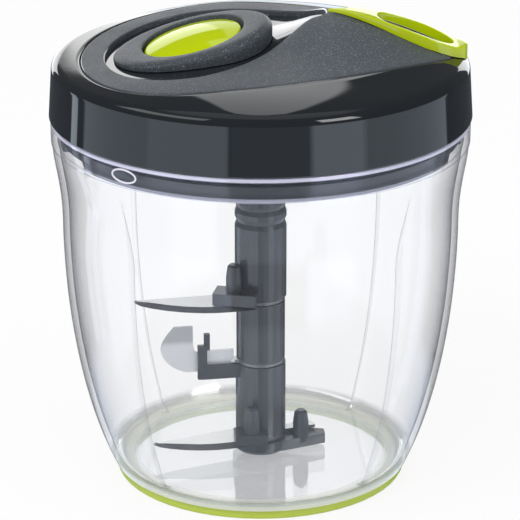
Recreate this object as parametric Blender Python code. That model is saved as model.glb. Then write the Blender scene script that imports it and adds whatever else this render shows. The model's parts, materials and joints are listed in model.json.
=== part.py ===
"""Pull cord food chopper: a clear bowl on a ring foot, a stack of blades on a pivot pin,
and a domed lid that holds a sprung cord reel, its stop button and the pull handle.

Frame: metres, +Z up, origin on the bowl's axis at the underside of its foot.
The handle is pulled along +X. The blades and the reel turn about Z.
"""
import math

import bmesh
import bpy
from mathutils import Matrix, Vector

FULL_TURN = 2.0 * math.pi

# Gaps and wall sizes that several pieces share
GAP = 0.0003
RUNNING_GAP = 0.0005
CUT_OVERRUN = 0.004
WELD = 0.000001
STEP_BACK = 0.0001

# Heights that the lid's pieces are stacked from
LID_BOTTOM_Z = 0.1202
LID_WALL_HEIGHT = 0.0178
LID_CREASE_Z = LID_BOTTOM_Z + LID_WALL_HEIGHT
REEL_LIFT = 0.0054
REEL_BOTTOM_Z = LID_BOTTOM_Z + REEL_LIFT
REEL_HEIGHT = 0.0060
REEL_TOP_Z = REEL_BOTTOM_Z + REEL_HEIGHT

# Stop button, its bore and the hub round it
HUB_X = -0.0213
HUB_RADIUS = 0.0250
HUB_RIM = 0.0090
HUB_BORE_RADIUS = HUB_RADIUS - HUB_RIM
BUTTON_SIDE_GAP = 0.0007
BUTTON_RADIUS = HUB_BORE_RADIUS - BUTTON_SIDE_GAP
BUTTON_STRETCH = 1.21
HUB_RISE = 0.0073
HUB_TOP_Z = LID_CREASE_Z + HUB_RISE
HUB_TILT = 0.245
CUP_WALL = 0.0013
CUP_OVER_REEL = 0.0022
CUP_BOTTOM_Z = REEL_TOP_Z + CUP_OVER_REEL
BUTTON_BELOW_HUB = 0.0009
BUTTON_CROWN = 0.0017
BUTTON_OVER_CUP = 0.0052
BUTTON_UNDERSIDE_Z = CUP_BOTTOM_Z + BUTTON_OVER_CUP
STOP_PIN_RADIUS = 0.0014
STOP_PIN_REST_GAP = 0.0004
BUTTON_SPRING_WIRE = 0.0004
BUTTON_SPRING_RADIUS = 0.0042
BUTTON_SPRING_TURNS = 3

# Plan of the lid's top, from the hub out to the shoulder and the wall
HUB_TO_RECESS = 0.0027
RECESS_LEFT_X = HUB_X - HUB_RADIUS - HUB_TO_RECESS
COVER_LEFT_BAND = 0.0076
COVER_LEFT = COVER_LEFT_BAND - RECESS_LEFT_X
SHOULDER_LEFT_BAND = 0.0094
LID_SHOULDER_RADIUS = COVER_LEFT + SHOULDER_LEFT_BAND
SHOULDER_RIGHT_BAND = 0.0050
COVER_RIGHT = LID_SHOULDER_RADIUS - SHOULDER_RIGHT_BAND
SHOULDER_SIDE_BAND = 0.0179
COVER_HALF_WIDTH = LID_SHOULDER_RADIUS - SHOULDER_SIDE_BAND
COVER_SIDE_BAND = 0.0106
RECESS_HALF_WIDTH = COVER_HALF_WIDTH - COVER_SIDE_BAND
LID_FLARE = 0.0010
LID_RADIUS = LID_SHOULDER_RADIUS + LID_FLARE

# Lid shell
LID_CREASE_ROUND = 0.0026
LID_WALL = 0.0021
DOME_RISE = 0.0059
DOME_CREST_X = -0.0063
DOME_LEFT_POWER = 2.33
DOME_RIGHT_POWER = 1.57
DOME_FLANK_POWER = 5.5
HANDLE_TIP_X = 0.0210
PEAK_FROM_TIP = 0.0022
PEAK_X = HANDLE_TIP_X + PEAK_FROM_TIP
PEAK_RISE = 0.0105
PEAK_SPREAD_LEFT = 0.0167
PEAK_SPREAD_SIDE = 0.0275
PEAK_RIGHT_POWER = 1.14

# Textured cover and the eye-shaped recess in it
FAN_CENTRE_X = -0.0120
FAN_STEPS = 42
COVER_EGG_SHARE = 0.316
COVER_THICKNESS = 0.0022
RECESS_WIDEST_X = -0.0211
RECESS_TAIL_RADIUS = 0.0018
RECESS_TIP_GAP = 0.0005
RECESS_TIP_X = HANDLE_TIP_X - RECESS_TIP_GAP
RECESS_TAIL_LENGTH = 0.0045
RECESS_TAIL_START_X = RECESS_TIP_X - RECESS_TAIL_LENGTH
RECESS_TAIL_POWER = 0.67
RECESS_BACK_POWER = 3.2

# Bowl and its foot
LID_OVERHANG = 0.0005
BOWL_RIM_RADIUS = LID_RADIUS - LID_OVERHANG
BOWL_RIM_BAND = 0.0078
BOWL_RIM_Z = LID_BOTTOM_Z - BOWL_RIM_BAND
BOWL_RIM_STEP = 0.0004
BOWL_COLLAR_FLARE = 0.0032
BOWL_NECK_RADIUS = BOWL_RIM_RADIUS - BOWL_COLLAR_FLARE
BOWL_COLLAR = 0.0264
BOWL_NECK_Z = BOWL_RIM_Z - BOWL_COLLAR
BOWL_BASE_RADIUS = 0.0478
BOWL_BASE_DROP = 0.0009
BOWL_WALL = 0.0021
BOWL_FLOOR = 0.0021
BOWL_FLOOR_FILLET = 0.0060
BOWL_BELLY_PULL_Z = 0.0300
BOWL_FOOT_PULL_RADIUS = 0.0104
BOWL_FOOT_PULL_Z = 0.0208
FOOT_STEP_IN = 0.0008
FOOT_RADIUS = BOWL_BASE_RADIUS - FOOT_STEP_IN
FOOT_HEIGHT = 0.0029
FOOT_WIDTH = 0.0050
FOOT_EDGE_ROUND = 0.0008
FIN_COUNT = 4
FIN_FIRST_ANGLE = math.radians(47.0)
FIN_HEIGHT = 0.0042
FIN_FOOT_HEIGHT = 0.0024
FIN_HALF_WIDTH = 0.0016
FIN_TOP_DROP = 0.0044
FIN_TOP_Z = BOWL_RIM_Z - FIN_TOP_DROP
FIN_CREST_DROP = 0.0020
FIN_CREST_Z = BOWL_NECK_Z - FIN_CREST_DROP
MARK_ANGLE = math.radians(231.7)
MARK_LENGTH = 0.0070
MARK_HEIGHT = 0.0036
MARK_RISE = 0.0005
PIVOT_RADIUS = 0.0025
PIVOT_BOSS_RADIUS = 0.0050
PIVOT_HEIGHT = 0.0120
PIVOT_SINK = 0.0012

# Pull handle and the finger well below it
HANDLE_STEPS = 48
HANDLE_END_INSET = 0.0010
HANDLE_END_RADIUS = LID_SHOULDER_RADIUS - HANDLE_END_INSET
HANDLE_HALF_WIDTH = 0.0085
HANDLE_TAPER = 0.0305
HANDLE_WIDEST_X = HANDLE_TIP_X + HANDLE_TAPER
HANDLE_TAPER_POWER = 1.10
HANDLE_ROOT_THICKNESS = 0.0010
HANDLE_THICKNESS = 0.0031
HANDLE_LEVEL_INSET = 0.0045
HANDLE_LEVEL_X = LID_SHOULDER_RADIUS - HANDLE_LEVEL_INSET
HANDLE_TONGUE = 0.0155
FINGER_GAP_LEFT_X = HANDLE_TIP_X + HANDLE_TONGUE
HANDLE_END_BAR = 0.0045
FINGER_GAP_RIGHT_X = HANDLE_END_RADIUS - HANDLE_END_BAR
HANDLE_ARM = 0.0016
FINGER_GAP_ROUND = 0.0030
WELL_FROM_TIP = 0.0095
WELL_LEFT_X = HANDLE_TIP_X + WELL_FROM_TIP
WELL_INSET = 0.0032
WELL_RIGHT_X = FINGER_GAP_RIGHT_X - WELL_INSET
WELL_SLOT_HALF_WIDTH = 0.0027
WELL_CORNER = 0.0009
WELL_WALL = 0.0008
WELL_FLOOR_RISE = 0.0012
WELL_FLOOR_Z = LID_CREASE_Z + WELL_FLOOR_RISE
STEM_LENGTH = 0.0050
STEM_FROM_WELL = 0.0006
STEM_SIDE_GAP = 0.0003
STEM_HALF_WIDTH = WELL_SLOT_HALF_WIDTH - STEM_SIDE_GAP
STEM_OVER_FLOOR = 0.0028
STEM_BOTTOM_Z = WELL_FLOOR_Z + STEM_OVER_FLOOR
CORD_OVER_STEM = 0.0023
CORD_EXIT_Z = STEM_BOTTOM_Z + CORD_OVER_STEM

# Cord, reel and its spring
CORD_RADIUS = 0.0010
CORD_SIDE_GAP = 0.0003
WINDING_TURNS = 2.75
WINDING_PITCH = 0.0026
WINDING_OUTER_RADIUS = 0.0205
REEL_FLANGE_RADIUS = 0.0245
REEL_LOWER_FLANGE = 0.0013
REEL_TOOTH_COUNT = 24
REEL_TOOTH_ROOT_RADIUS = 0.0186
REEL_TOOTH_SHARE = 0.36
REEL_NECK_RADIUS = 0.0068
EYELET_RADIUS = 0.0016
EYELET_FLANGE_RADIUS = 0.0022
EYELET_FLANGE = 0.0008
KNOT_RADIUS = 0.0016
KNOT_LENGTH = 0.0022
SPRING_OUTER_RADIUS = 0.0200
SPRING_INNER_RADIUS = 0.0086
SPRING_TURNS = 5
SPRING_STRIP = 0.0004
SPRING_CUP_RADIUS = 0.0225
SPRING_CUP_WALL = 0.0012
SPRING_CUP_FLOOR = 0.0010
ARBOR_RADIUS = 0.0030
ARBOR_HEAD_RADIUS = 0.0055
ARBOR_HEAD = 0.0012

# Lid base, drive spindle and seal
BASE_PLATE = 0.0020
BASE_RADIAL_GAP = 0.0004
SKIRT_SIDE_GAP = 0.0038
SKIRT_OUTER_RADIUS = BOWL_RIM_RADIUS - BOWL_WALL - SKIRT_SIDE_GAP
SKIRT_WALL = 0.0018
SKIRT_DROP = 0.0071
SKIRT_BOTTOM_Z = LID_BOTTOM_Z - SKIRT_DROP
SKIRT_NOTCH_HEIGHT = 0.0025
SKIRT_NOTCH_Z = SKIRT_BOTTOM_Z + SKIRT_NOTCH_HEIGHT
SKIRT_NOTCH_ANGLES = (23.0, 165.0, 203.0, 345.0)
SKIRT_NOTCH_HALF_ANGLE = math.radians(8.0)
SEAL_DROP = 0.0024
SEAL_Z = LID_BOTTOM_Z - SEAL_DROP
SEAL_HEIGHT = 0.0024
SEAL_RADIAL = 0.0016
SCREW_CIRCLE_RADIUS = 0.0460
SCREW_ANGLES = (60.0, 180.0, 300.0)
SCREW_HEAD_RADIUS = 0.0030
SCREW_HEAD = 0.0018
SCREW_SHANK_RADIUS = 0.0012
SCREW_LENGTH = 0.0100
SCREW_POST_RADIUS = 0.0034
BUSH_WALL = 0.0010
SPINDLE_ACROSS_FLATS = 0.0080
STACK_TOP_DROP = 0.0030
STACK_TOP_Z = LID_BOTTOM_Z - STACK_TOP_DROP
SPINDLE_REACH = 0.0132
SPINDLE_BOTTOM_Z = STACK_TOP_Z - SPINDLE_REACH

# Blade stack
BLADE_STACK_BOTTOM_Z = 0.0050
CORE_RADIUS = 0.0048
CORE_TO_SPINDLE = 0.0020
CORE_TOP_Z = SPINDLE_BOTTOM_Z - CORE_TO_SPINDLE
BASE_HUB_RADIUS = 0.0092
BASE_HUB_HEIGHT = 0.0042
LOWER_TUBE_RADIUS = 0.00815
MIDDLE_TUBE_RADIUS = 0.00790
UPPER_TUBE_RADIUS = 0.00835
LOWER_SEGMENT_HEIGHT = 0.0320
MIDDLE_SEAM_Z = BLADE_STACK_BOTTOM_Z + LOWER_SEGMENT_HEIGHT
MIDDLE_SEGMENT_HEIGHT = 0.0215
UPPER_SEAM_Z = MIDDLE_SEAM_Z + MIDDLE_SEGMENT_HEIGHT
NECK_GROOVE = 0.0006
NECK_GROOVE_HEIGHT = 0.0030
NECK_GROOVE_DROP = 0.0282
NECK_GROOVE_HIGH_Z = STACK_TOP_Z - NECK_GROOVE_DROP
NECK_GROOVE_PITCH = 0.0047
NECK_GROOVE_LOW_Z = NECK_GROOVE_HIGH_Z - NECK_GROOVE_PITCH
BLADE_THICKNESS = 0.0010
BLADE_GRIND = 0.0030
EYE_RADIUS = 0.0078
UPPER_WING_LENGTH = 0.0410
UPPER_WING_ANGLE = math.radians(187.0)
UPPER_WING_BACK = 0.0030
UPPER_WING_FRONT = 0.0098
LOWER_WING_LENGTH = 0.0362
LOWER_WING_ANGLE = math.radians(196.0)
LOWER_WING_BACK = 0.0050
LOWER_WING_FRONT = 0.0080
PEG_RADIUS = 0.0026
PEG_TOP_RADIUS = 0.0021
PEG_HEIGHT = 0.0088
ARM_THICKNESS = 0.0040
RIGHT_ARM_REACH = 0.0212
RIGHT_ARM_ROOT = 0.0069
RIGHT_ARM_TIP = 0.0018
RIGHT_ARM_ANGLE = math.radians(7.5)
RIGHT_PEG_ORBIT = 0.0132
RIGHT_PEG_ANGLE = math.radians(-2.0)
TAIL_ANGLE = math.radians(21.0)
TAIL_REACH = 0.0185
TAIL_HALF_WIDTH = 0.0020
PLATE_NEAR = -0.0010
PLATE_SIDE_LOW = 0.0056
PLATE_SIDE_HIGH = 0.0134
UPPER_PLATE_ANGLE = math.radians(168.7)
UPPER_PLATE_REACH = 0.0131
UPPER_PEG_PLACE = (0.0070, 0.0085)
FRONT_PLATE_ANGLE = math.radians(186.0)
FRONT_PLATE_REACH = 0.0095
FRONT_PLATE_HEIGHT = 0.0034
FRONT_PEG_PLACE = (0.0040, 0.0102)
LEAF_ANGLE = math.radians(190.0)
LEAF_ROOT = 0.0090
LEAF_BELOW_SEAM = 0.0040
LEAF_LOW_Z = MIDDLE_SEAM_Z - LEAF_BELOW_SEAM
LEAF_STRIP_HEIGHT = 0.0070
LEAF_STRIP_TOP_Z = LEAF_LOW_Z + LEAF_STRIP_HEIGHT
LEAF_HEIGHT = 0.0158
LEAF_TOP_Z = LEAF_LOW_Z + LEAF_HEIGHT
LEAF_NECK = 0.0210
LEAF_BELLY = 0.0246
LEAF_TIP = 0.0337
LEAF_CREST = 0.0286
FORK_REACH = 0.0166
FORK_JAW = 0.0016
FORK_JAW_WIDTH = 0.0030
FORK_STEP = 0.0014
FORK_HEIGHT = 0.0055
FORK_FRONT_TOP_Z = MIDDLE_SEAM_Z + FORK_HEIGHT
FORK_BACK_STEP = 0.0027
FORK_BACK_TOP_Z = FORK_FRONT_TOP_Z + FORK_BACK_STEP
MID_ARM_HALF_WIDTH = 0.0026
MID_ARM_THICKNESS = 0.0046


def clear_scene():
    """Remove every object that the file opened with."""
    for item in list(bpy.data.objects):
        bpy.data.objects.remove(item, do_unlink=True)


def material(name, colour, roughness, metallic=0.0, alpha=1.0):
    """Return a Principled material in a plain colour."""
    made = bpy.data.materials.new(name)
    made.use_nodes = True
    shader = made.node_tree.nodes["Principled BSDF"]
    shader.inputs["Base Color"].default_value = (*colour, 1.0)
    shader.inputs["Roughness"].default_value = roughness
    shader.inputs["Metallic"].default_value = metallic
    shader.inputs["Alpha"].default_value = alpha
    return made


def finish_object(name, mesh, look, smooth_angle=math.radians(35.0)):
    """Turn a bmesh into a linked object with outward faces and smooth shading."""
    bmesh.ops.remove_doubles(mesh, verts=mesh.verts, dist=WELD)
    bmesh.ops.recalc_face_normals(mesh, faces=mesh.faces)
    data = bpy.data.meshes.new(name)
    mesh.to_mesh(data)
    mesh.free()
    data.materials.append(look)
    data.shade_smooth()
    data.set_sharp_from_angle(angle=smooth_angle)
    made = bpy.data.objects.new(name, data)
    bpy.context.scene.collection.objects.link(made)
    return made


def revolve(name, profile, look, steps=48):
    """Spin a closed outline of (radius, height) points about Z."""
    mesh = bmesh.new()
    verts = [mesh.verts.new((radius, 0.0, height)) for radius, height in profile]
    edges = [mesh.edges.new((a, b)) for a, b in zip(verts, verts[1:] + verts[:1])]
    bmesh.ops.spin(mesh, geom=verts + edges, cent=(0.0, 0.0, 0.0), axis=(0.0, 0.0, 1.0),
                   angle=FULL_TURN, steps=steps, use_merge=True)
    bmesh.ops.remove_doubles(mesh, verts=mesh.verts, dist=WELD)
    flat = [edge for edge in mesh.edges if not edge.link_faces]
    bmesh.ops.delete(mesh, geom=flat, context="EDGES")
    return finish_object(name, mesh, look)


def skin(name, rings, look, closed=False, smooth_angle=math.radians(35.0)):
    """Join equal rings of points side by side, and cap or close the two ends."""
    mesh = bmesh.new()
    rows = [[mesh.verts.new(point) for point in ring] for ring in rings]
    pairs = list(zip(rows, rows[1:]))
    if closed:
        pairs.append((rows[-1], rows[0]))
    else:
        mesh.faces.new(rows[0])
        mesh.faces.new(rows[-1])
    for low, high in pairs:
        for index, vert in enumerate(low):
            after = (index + 1) % len(low)
            mesh.faces.new((vert, low[after], high[after], high[index]))
    quads = [face for face in mesh.faces if len(face.verts) == 4]
    bmesh.ops.triangulate(mesh, faces=quads, quad_method="SHORT_EDGE")
    return finish_object(name, mesh, look, smooth_angle)


def extrude_outline(name, outline, bottom, top, look):
    """Raise a plan outline from one height to another."""
    mesh = bmesh.new()
    face = mesh.faces.new([mesh.verts.new((x, y, bottom)) for x, y in outline])
    lifted = bmesh.ops.extrude_face_region(mesh, geom=[face])
    moved = [item for item in lifted["geom"] if isinstance(item, bmesh.types.BMVert)]
    bmesh.ops.translate(mesh, verts=moved, vec=(0.0, 0.0, top - bottom))
    return finish_object(name, mesh, look)


def hide_guide(guide):
    """Mark an object as a guide that only shapes another one."""
    guide.hide_render = True
    guide.display_type = "WIRE"


def combine(target, guide, operation):
    """Cut a guide from an object, or weld it on, with an exact Boolean."""
    step = target.modifiers.new(operation.title() + " " + guide.name, "BOOLEAN")
    step.operation = operation
    step.solver = "EXACT"
    step.object = guide
    hide_guide(guide)


def arc(centre_x, centre_y, radius, start, end, steps):
    """Return plan points along an arc, both ends included."""
    share = [index / steps for index in range(steps + 1)]
    return [(centre_x + radius * math.cos(start + (end - start) * s),
             centre_y + radius * math.sin(start + (end - start) * s)) for s in share]


def bezier(points, steps):
    """Return points on a cubic curve through its first and last control point."""
    made = []
    for index in range(steps + 1):
        t = index / steps
        weights = ((1 - t) ** 3, 3 * t * (1 - t) ** 2, 3 * t * t * (1 - t), t ** 3)
        made.append(tuple(sum(w * point[axis] for w, point in zip(weights, points))
                          for axis in range(len(points[0]))))
    return made


def dome_z(x, y):
    """Height of the lid's outer dome above the foot."""
    reach = LID_SHOULDER_RADIUS
    if x < DOME_CREST_X:
        run = max(0.0, (x + reach) / (DOME_CREST_X + reach))
        ridge = DOME_RISE * math.sin(math.pi / 2 * run) ** DOME_LEFT_POWER
    else:
        run = max(0.0, (reach - x) / (reach - DOME_CREST_X))
        ridge = DOME_RISE * math.sin(math.pi / 2 * run) ** DOME_RIGHT_POWER
    half_chord = math.sqrt(max(reach ** 2 - x ** 2, WELD ** 2))
    flank = 1.0 - min(1.0, abs(y) / half_chord) ** DOME_FLANK_POWER
    if x < PEAK_X:
        along = math.exp(-((x - PEAK_X) / PEAK_SPREAD_LEFT) ** 2)
    else:
        run = max(0.0, (reach - x) / (reach - PEAK_X))
        along = math.sin(math.pi / 2 * run) ** PEAK_RIGHT_POWER
    peak = PEAK_RISE * along * math.exp(-(y / PEAK_SPREAD_SIDE) ** 2)
    edge = LID_CREASE_Z - LID_CREASE_ROUND
    start = reach - LID_CREASE_ROUND
    over = min(LID_CREASE_ROUND, max(0.0, math.hypot(x, y) - start))
    rounding = math.sqrt(max(0.0, LID_CREASE_ROUND ** 2 - over ** 2))
    return edge + rounding + ridge * flank + peak * max(0.0, 1.0 - over / LID_CREASE_ROUND)


def recess_front(x):
    """Reach of the eye-shaped recess towards -Y at a place along X."""
    if x <= RECESS_WIDEST_X:
        run = (RECESS_WIDEST_X - x) / (RECESS_WIDEST_X - RECESS_LEFT_X)
        return RECESS_HALF_WIDTH * math.sqrt(max(0.0, 1.0 - run ** 2))
    centre = RECESS_TIP_X - RECESS_TAIL_RADIUS
    if x > centre:
        return math.sqrt(max(0.0, RECESS_TAIL_RADIUS ** 2 - (x - centre) ** 2))
    run = min(1.0, (x - RECESS_WIDEST_X) / (RECESS_TAIL_START_X - RECESS_WIDEST_X))
    fall = ((1.0 + math.cos(math.pi * run)) / 2) ** RECESS_TAIL_POWER
    return RECESS_TAIL_RADIUS + (RECESS_HALF_WIDTH - RECESS_TAIL_RADIUS) * fall


def recess_back(x):
    """Reach of the recess towards +Y, where it stays wide up to its tip."""
    if x <= RECESS_WIDEST_X:
        return recess_front(x)
    run = min(1.0, (x - RECESS_WIDEST_X) / (RECESS_TIP_X - RECESS_WIDEST_X))
    return RECESS_HALF_WIDTH * math.sqrt(1.0 - run ** RECESS_BACK_POWER)


def in_recess(x, y):
    """Tell whether a plan point lies in the recess."""
    return y < recess_back(x) if y > 0.0 else -y < recess_front(x)


def in_cover(x, y):
    """Tell whether a plan point lies inside the cover's egg-shaped edge."""
    length = COVER_LEFT if x < 0.0 else COVER_RIGHT
    along = max(-1.0, min(1.0, x / length))
    half = COVER_HALF_WIDTH * math.sqrt(1.0 - along ** 2) * (1.0 - COVER_EGG_SHARE * along)
    return abs(x) < length and abs(y) < half


def in_circle(radius):
    """Return a test for a circle about the lid's axis."""
    return lambda x, y: math.hypot(x, y) < radius


def fan_angles(steps):
    """Angles round the lid, closer together where the recess's tail points."""
    spread = [math.radians(share) for share in (1.5, 3.2, 5.0, 8.0, 12.0)]
    start = math.radians(18.0)
    rest = [start + (FULL_TURN - 2 * start) * index / steps for index in range(steps + 1)]
    return [0.0] + spread + rest + [FULL_TURN - angle for angle in reversed(spread)]


def edge_reach(inside, angle):
    """Distance from the fan's centre to the edge of a plan shape, by halving."""
    low = 0.0
    high = 2.0 * LID_RADIUS
    for _ in range(40):
        middle = (low + high) / 2
        if inside(FAN_CENTRE_X + middle * math.cos(angle), middle * math.sin(angle)):
            low = middle
        else:
            high = middle
    return low


def fan_ring(angles, inside, inset=0.0):
    """Plan points where a fan of rays meets the edge of a shape."""
    ring = []
    for angle in angles:
        reach = edge_reach(inside, angle) - inset
        ring.append((FAN_CENTRE_X + reach * math.cos(angle), reach * math.sin(angle)))
    return ring


def between(first, second, share):
    """Blend two plan rings point by point."""
    return [(a[0] + (b[0] - a[0]) * share, a[1] + (b[1] - a[1]) * share)
            for a, b in zip(first, second)]


def raised(ring, height_at):
    """Give a plan ring its heights."""
    return [Vector((x, y, height_at(x, y))) for x, y in ring]


def seat_z(x, y):
    """Height of the shell's seat: below the cover, and the floor of the recess."""
    return dome_z(x, y) - COVER_THICKNESS - GAP


def hub_top_z(x):
    """Height of the hub's tilted top at a place along X."""
    return HUB_TOP_Z + HUB_TILT * (x - HUB_X)


# Foot, bowl and pivot

def build_foot(look):
    """Coloured ring that the bowl stands on."""
    inner = FOOT_RADIUS - FOOT_WIDTH
    round_low = [(FOOT_RADIUS - FOOT_EDGE_ROUND * (1 - math.cos(angle)),
                  FOOT_EDGE_ROUND * (1 - math.sin(angle)))
                 for angle in (0.0, math.pi / 4, math.pi / 2)]
    profile = round_low[::-1][1:][::-1] + [(FOOT_RADIUS - FOOT_EDGE_ROUND, 0.0)]
    profile = [(FOOT_RADIUS, FOOT_HEIGHT)] + profile + [(inner, 0.0), (inner, FOOT_HEIGHT)]
    return revolve("base_ring", profile, look, steps=56)


def bowl_outer_curve():
    """Outside of the bowl from its base up to its rim, as (radius, height)."""
    base_z = FOOT_HEIGHT + GAP
    neck = (BOWL_NECK_RADIUS, BOWL_NECK_Z)
    belly = (BOWL_NECK_RADIUS, BOWL_NECK_Z - BOWL_BELLY_PULL_Z)
    foot = (BOWL_BASE_RADIUS + BOWL_FOOT_PULL_RADIUS, base_z + BOWL_FOOT_PULL_Z)
    lower = bezier(((BOWL_BASE_RADIUS, base_z), foot, belly, neck), 8)
    rise = (BOWL_RIM_Z - BOWL_NECK_Z) / 2
    collar = BOWL_RIM_RADIUS - BOWL_RIM_STEP
    upper = bezier((neck, (BOWL_NECK_RADIUS, BOWL_NECK_Z + rise),
                    (collar, BOWL_RIM_Z - rise / 2), (collar, BOWL_RIM_Z)), 3)
    return lower + upper[1:]


def fin_height(height):
    """How far a fin stands in from the wall at a height."""
    if height >= FIN_TOP_Z:
        return 0.0
    if height > FIN_CREST_Z:
        return FIN_HEIGHT * (FIN_TOP_Z - height) / (FIN_TOP_Z - FIN_CREST_Z)
    share = max(0.0, height) / FIN_CREST_Z
    return FIN_FOOT_HEIGHT + (FIN_HEIGHT - FIN_FOOT_HEIGHT) * share


def bowl_angles(radius):
    """Angles round the bowl with a close group across each fin."""
    half = FIN_HALF_WIDTH / radius
    pitch = FULL_TURN / FIN_COUNT
    made = []
    for index in range(FIN_COUNT):
        centre = FIN_FIRST_ANGLE + index * pitch
        made += [(centre + share * half, weight)
                 for share, weight in ((-1.0, 0.0), (-0.4, 0.9), (0.4, 0.9), (1.0, 0.0))]
        steps = 10
        run = pitch - 2 * half
        made += [(centre + half + run * step / steps, 0.0) for step in range(1, steps)]
    return made


def build_bowl(look):
    """Clear bowl: curved wall, upright fins inside, flat floor and a pivot boss."""
    outer = bowl_outer_curve()
    rim_top = LID_BOTTOM_Z - GAP
    outer = outer + [(BOWL_RIM_RADIUS, BOWL_RIM_Z), (BOWL_RIM_RADIUS, rim_top)]
    floor_z = FOOT_HEIGHT + GAP - BOWL_BASE_DROP + BOWL_FLOOR
    inner = [(radius - BOWL_WALL, height) for radius, height in bowl_outer_curve()
             if height > floor_z + BOWL_FLOOR_FILLET]
    inner = [(BOWL_RIM_RADIUS - BOWL_WALL, rim_top), (BOWL_RIM_RADIUS - BOWL_WALL, BOWL_RIM_Z)] + \
        inner[::-1][1:]
    corner = inner[-1]
    fillet = bezier((corner, (corner[0] - BOWL_FLOOR_FILLET / 4, floor_z + BOWL_FLOOR_FILLET / 3),
                     (corner[0] - BOWL_FLOOR_FILLET / 2, floor_z),
                     (corner[0] - BOWL_FLOOR_FILLET, floor_z)), 4)
    inner = inner + fillet[1:]
    boss = PIVOT_BOSS_RADIUS
    socket = PIVOT_RADIUS + GAP
    underside = floor_z - BOWL_FLOOR
    seat = FOOT_RADIUS - FOOT_WIDTH - GAP
    sunk = floor_z - PIVOT_SINK
    middle = [(boss, floor_z), (socket, floor_z), (socket, sunk), (0.0, sunk)]
    bottom = [(0.0, underside), (seat, underside), (seat, FOOT_HEIGHT + GAP)]
    angles = bowl_angles(BOWL_NECK_RADIUS)
    fins = {id(point) for point in inner}
    rings = []
    for point in outer + inner + middle + bottom:
        ring = []
        for angle, weight in angles:
            radius = point[0]
            if id(point) in fins and radius > corner[0] - BOWL_FLOOR_FILLET:
                radius -= weight * fin_height(point[1])
            ring.append(Vector((radius * math.cos(angle), radius * math.sin(angle), point[1])))
        rings.append(ring)
    mesh = bmesh.new()
    rows = [[mesh.verts.new(point) for point in ring] for ring in rings]
    for low, high in zip(rows, rows[1:] + rows[:1]):
        for index, vert in enumerate(low):
            after = (index + 1) % len(low)
            mesh.faces.new((vert, low[after], high[after], high[index]))
    bmesh.ops.remove_doubles(mesh, verts=mesh.verts, dist=WELD)
    bmesh.ops.dissolve_degenerate(mesh, edges=mesh.edges, dist=WELD)
    bowl = finish_object("bowl", mesh, look)
    combine(bowl, rim_mark(look), "UNION")
    return bowl


def rim_mark(look):
    """Low oval mark on the rim that shows where the lid lines up."""
    mesh = bmesh.new()
    bmesh.ops.create_uvsphere(mesh, u_segments=16, v_segments=6, radius=1.0)
    middle = (BOWL_RIM_Z + LID_BOTTOM_Z) / 2
    place = Matrix.Rotation(MARK_ANGLE, 4, "Z") @ Matrix.Translation((BOWL_RIM_RADIUS, 0.0, middle))
    size = Matrix.Diagonal((MARK_RISE, MARK_LENGTH / 2, MARK_HEIGHT / 2, 1.0))
    bmesh.ops.transform(mesh, matrix=place @ size, verts=mesh.verts)
    return finish_object("rim_mark_guide", mesh, look)


def floor_top_z():
    """Height of the bowl's inner floor."""
    return FOOT_HEIGHT + GAP - BOWL_BASE_DROP + BOWL_FLOOR


def build_pivot(look):
    """Steel pin that stands in the floor and carries the blade stack."""
    bottom = floor_top_z() - PIVOT_SINK + GAP
    top = bottom + PIVOT_HEIGHT
    chamfer = PIVOT_RADIUS / 3
    profile = [(0.0, bottom), (PIVOT_RADIUS, bottom), (PIVOT_RADIUS, top - chamfer),
               (PIVOT_RADIUS - chamfer, top), (0.0, top)]
    return revolve("pivot_pin", profile, look, steps=16)


# Lid: shell, cover, hub and button

def well_half_width(x):
    """Half width of the finger well: a slot for the stem that opens out below the finger gap."""
    if x > HANDLE_WIDEST_X:
        run = (x - HANDLE_WIDEST_X) / (WELL_RIGHT_X - HANDLE_WIDEST_X)
        return (HANDLE_HALF_WIDTH - HANDLE_ARM) * math.sqrt(max(0.0, 1.0 - run ** 2))
    body = handle_outer_half_width(x) - HANDLE_ARM
    run = max(0.0, min(1.0, (x - FINGER_GAP_LEFT_X) / FINGER_GAP_ROUND))
    return WELL_SLOT_HALF_WIDTH + (body - WELL_SLOT_HALF_WIDTH) * run


def well_outline(grow):
    """Plan outline of the finger well, grown outwards by a distance."""
    shares = (0.09, 0.16, 0.23, 0.28, 0.33, 0.42, 0.52, 0.63, 0.74, 0.83, 0.90, 0.95, 0.985)
    length = WELL_RIGHT_X - WELL_LEFT_X
    edge = [(WELL_LEFT_X, WELL_SLOT_HALF_WIDTH - WELL_CORNER)]
    edge += [(WELL_LEFT_X + WELL_CORNER * 0.3, WELL_SLOT_HALF_WIDTH - WELL_CORNER * 0.3)]
    edge += [(WELL_LEFT_X + length * share, well_half_width(WELL_LEFT_X + length * share))
             for share in shares]
    outline = [(x, -y) for x, y in edge] + [(WELL_RIGHT_X, 0.0)] + edge[::-1]
    return grown(outline, grow)


def grown(outline, distance):
    """Move each corner of a closed plan outline outwards by a distance."""
    made = []
    for index, (x, y) in enumerate(outline):
        before = outline[index - 1]
        after = outline[(index + 1) % len(outline)]
        back = Vector((x - before[0], y - before[1])).normalized()
        ahead = Vector((after[0] - x, after[1] - y)).normalized()
        along = (back + ahead).normalized()
        made.append((x + along.y * distance, y - along.x * distance))
    return made


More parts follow.
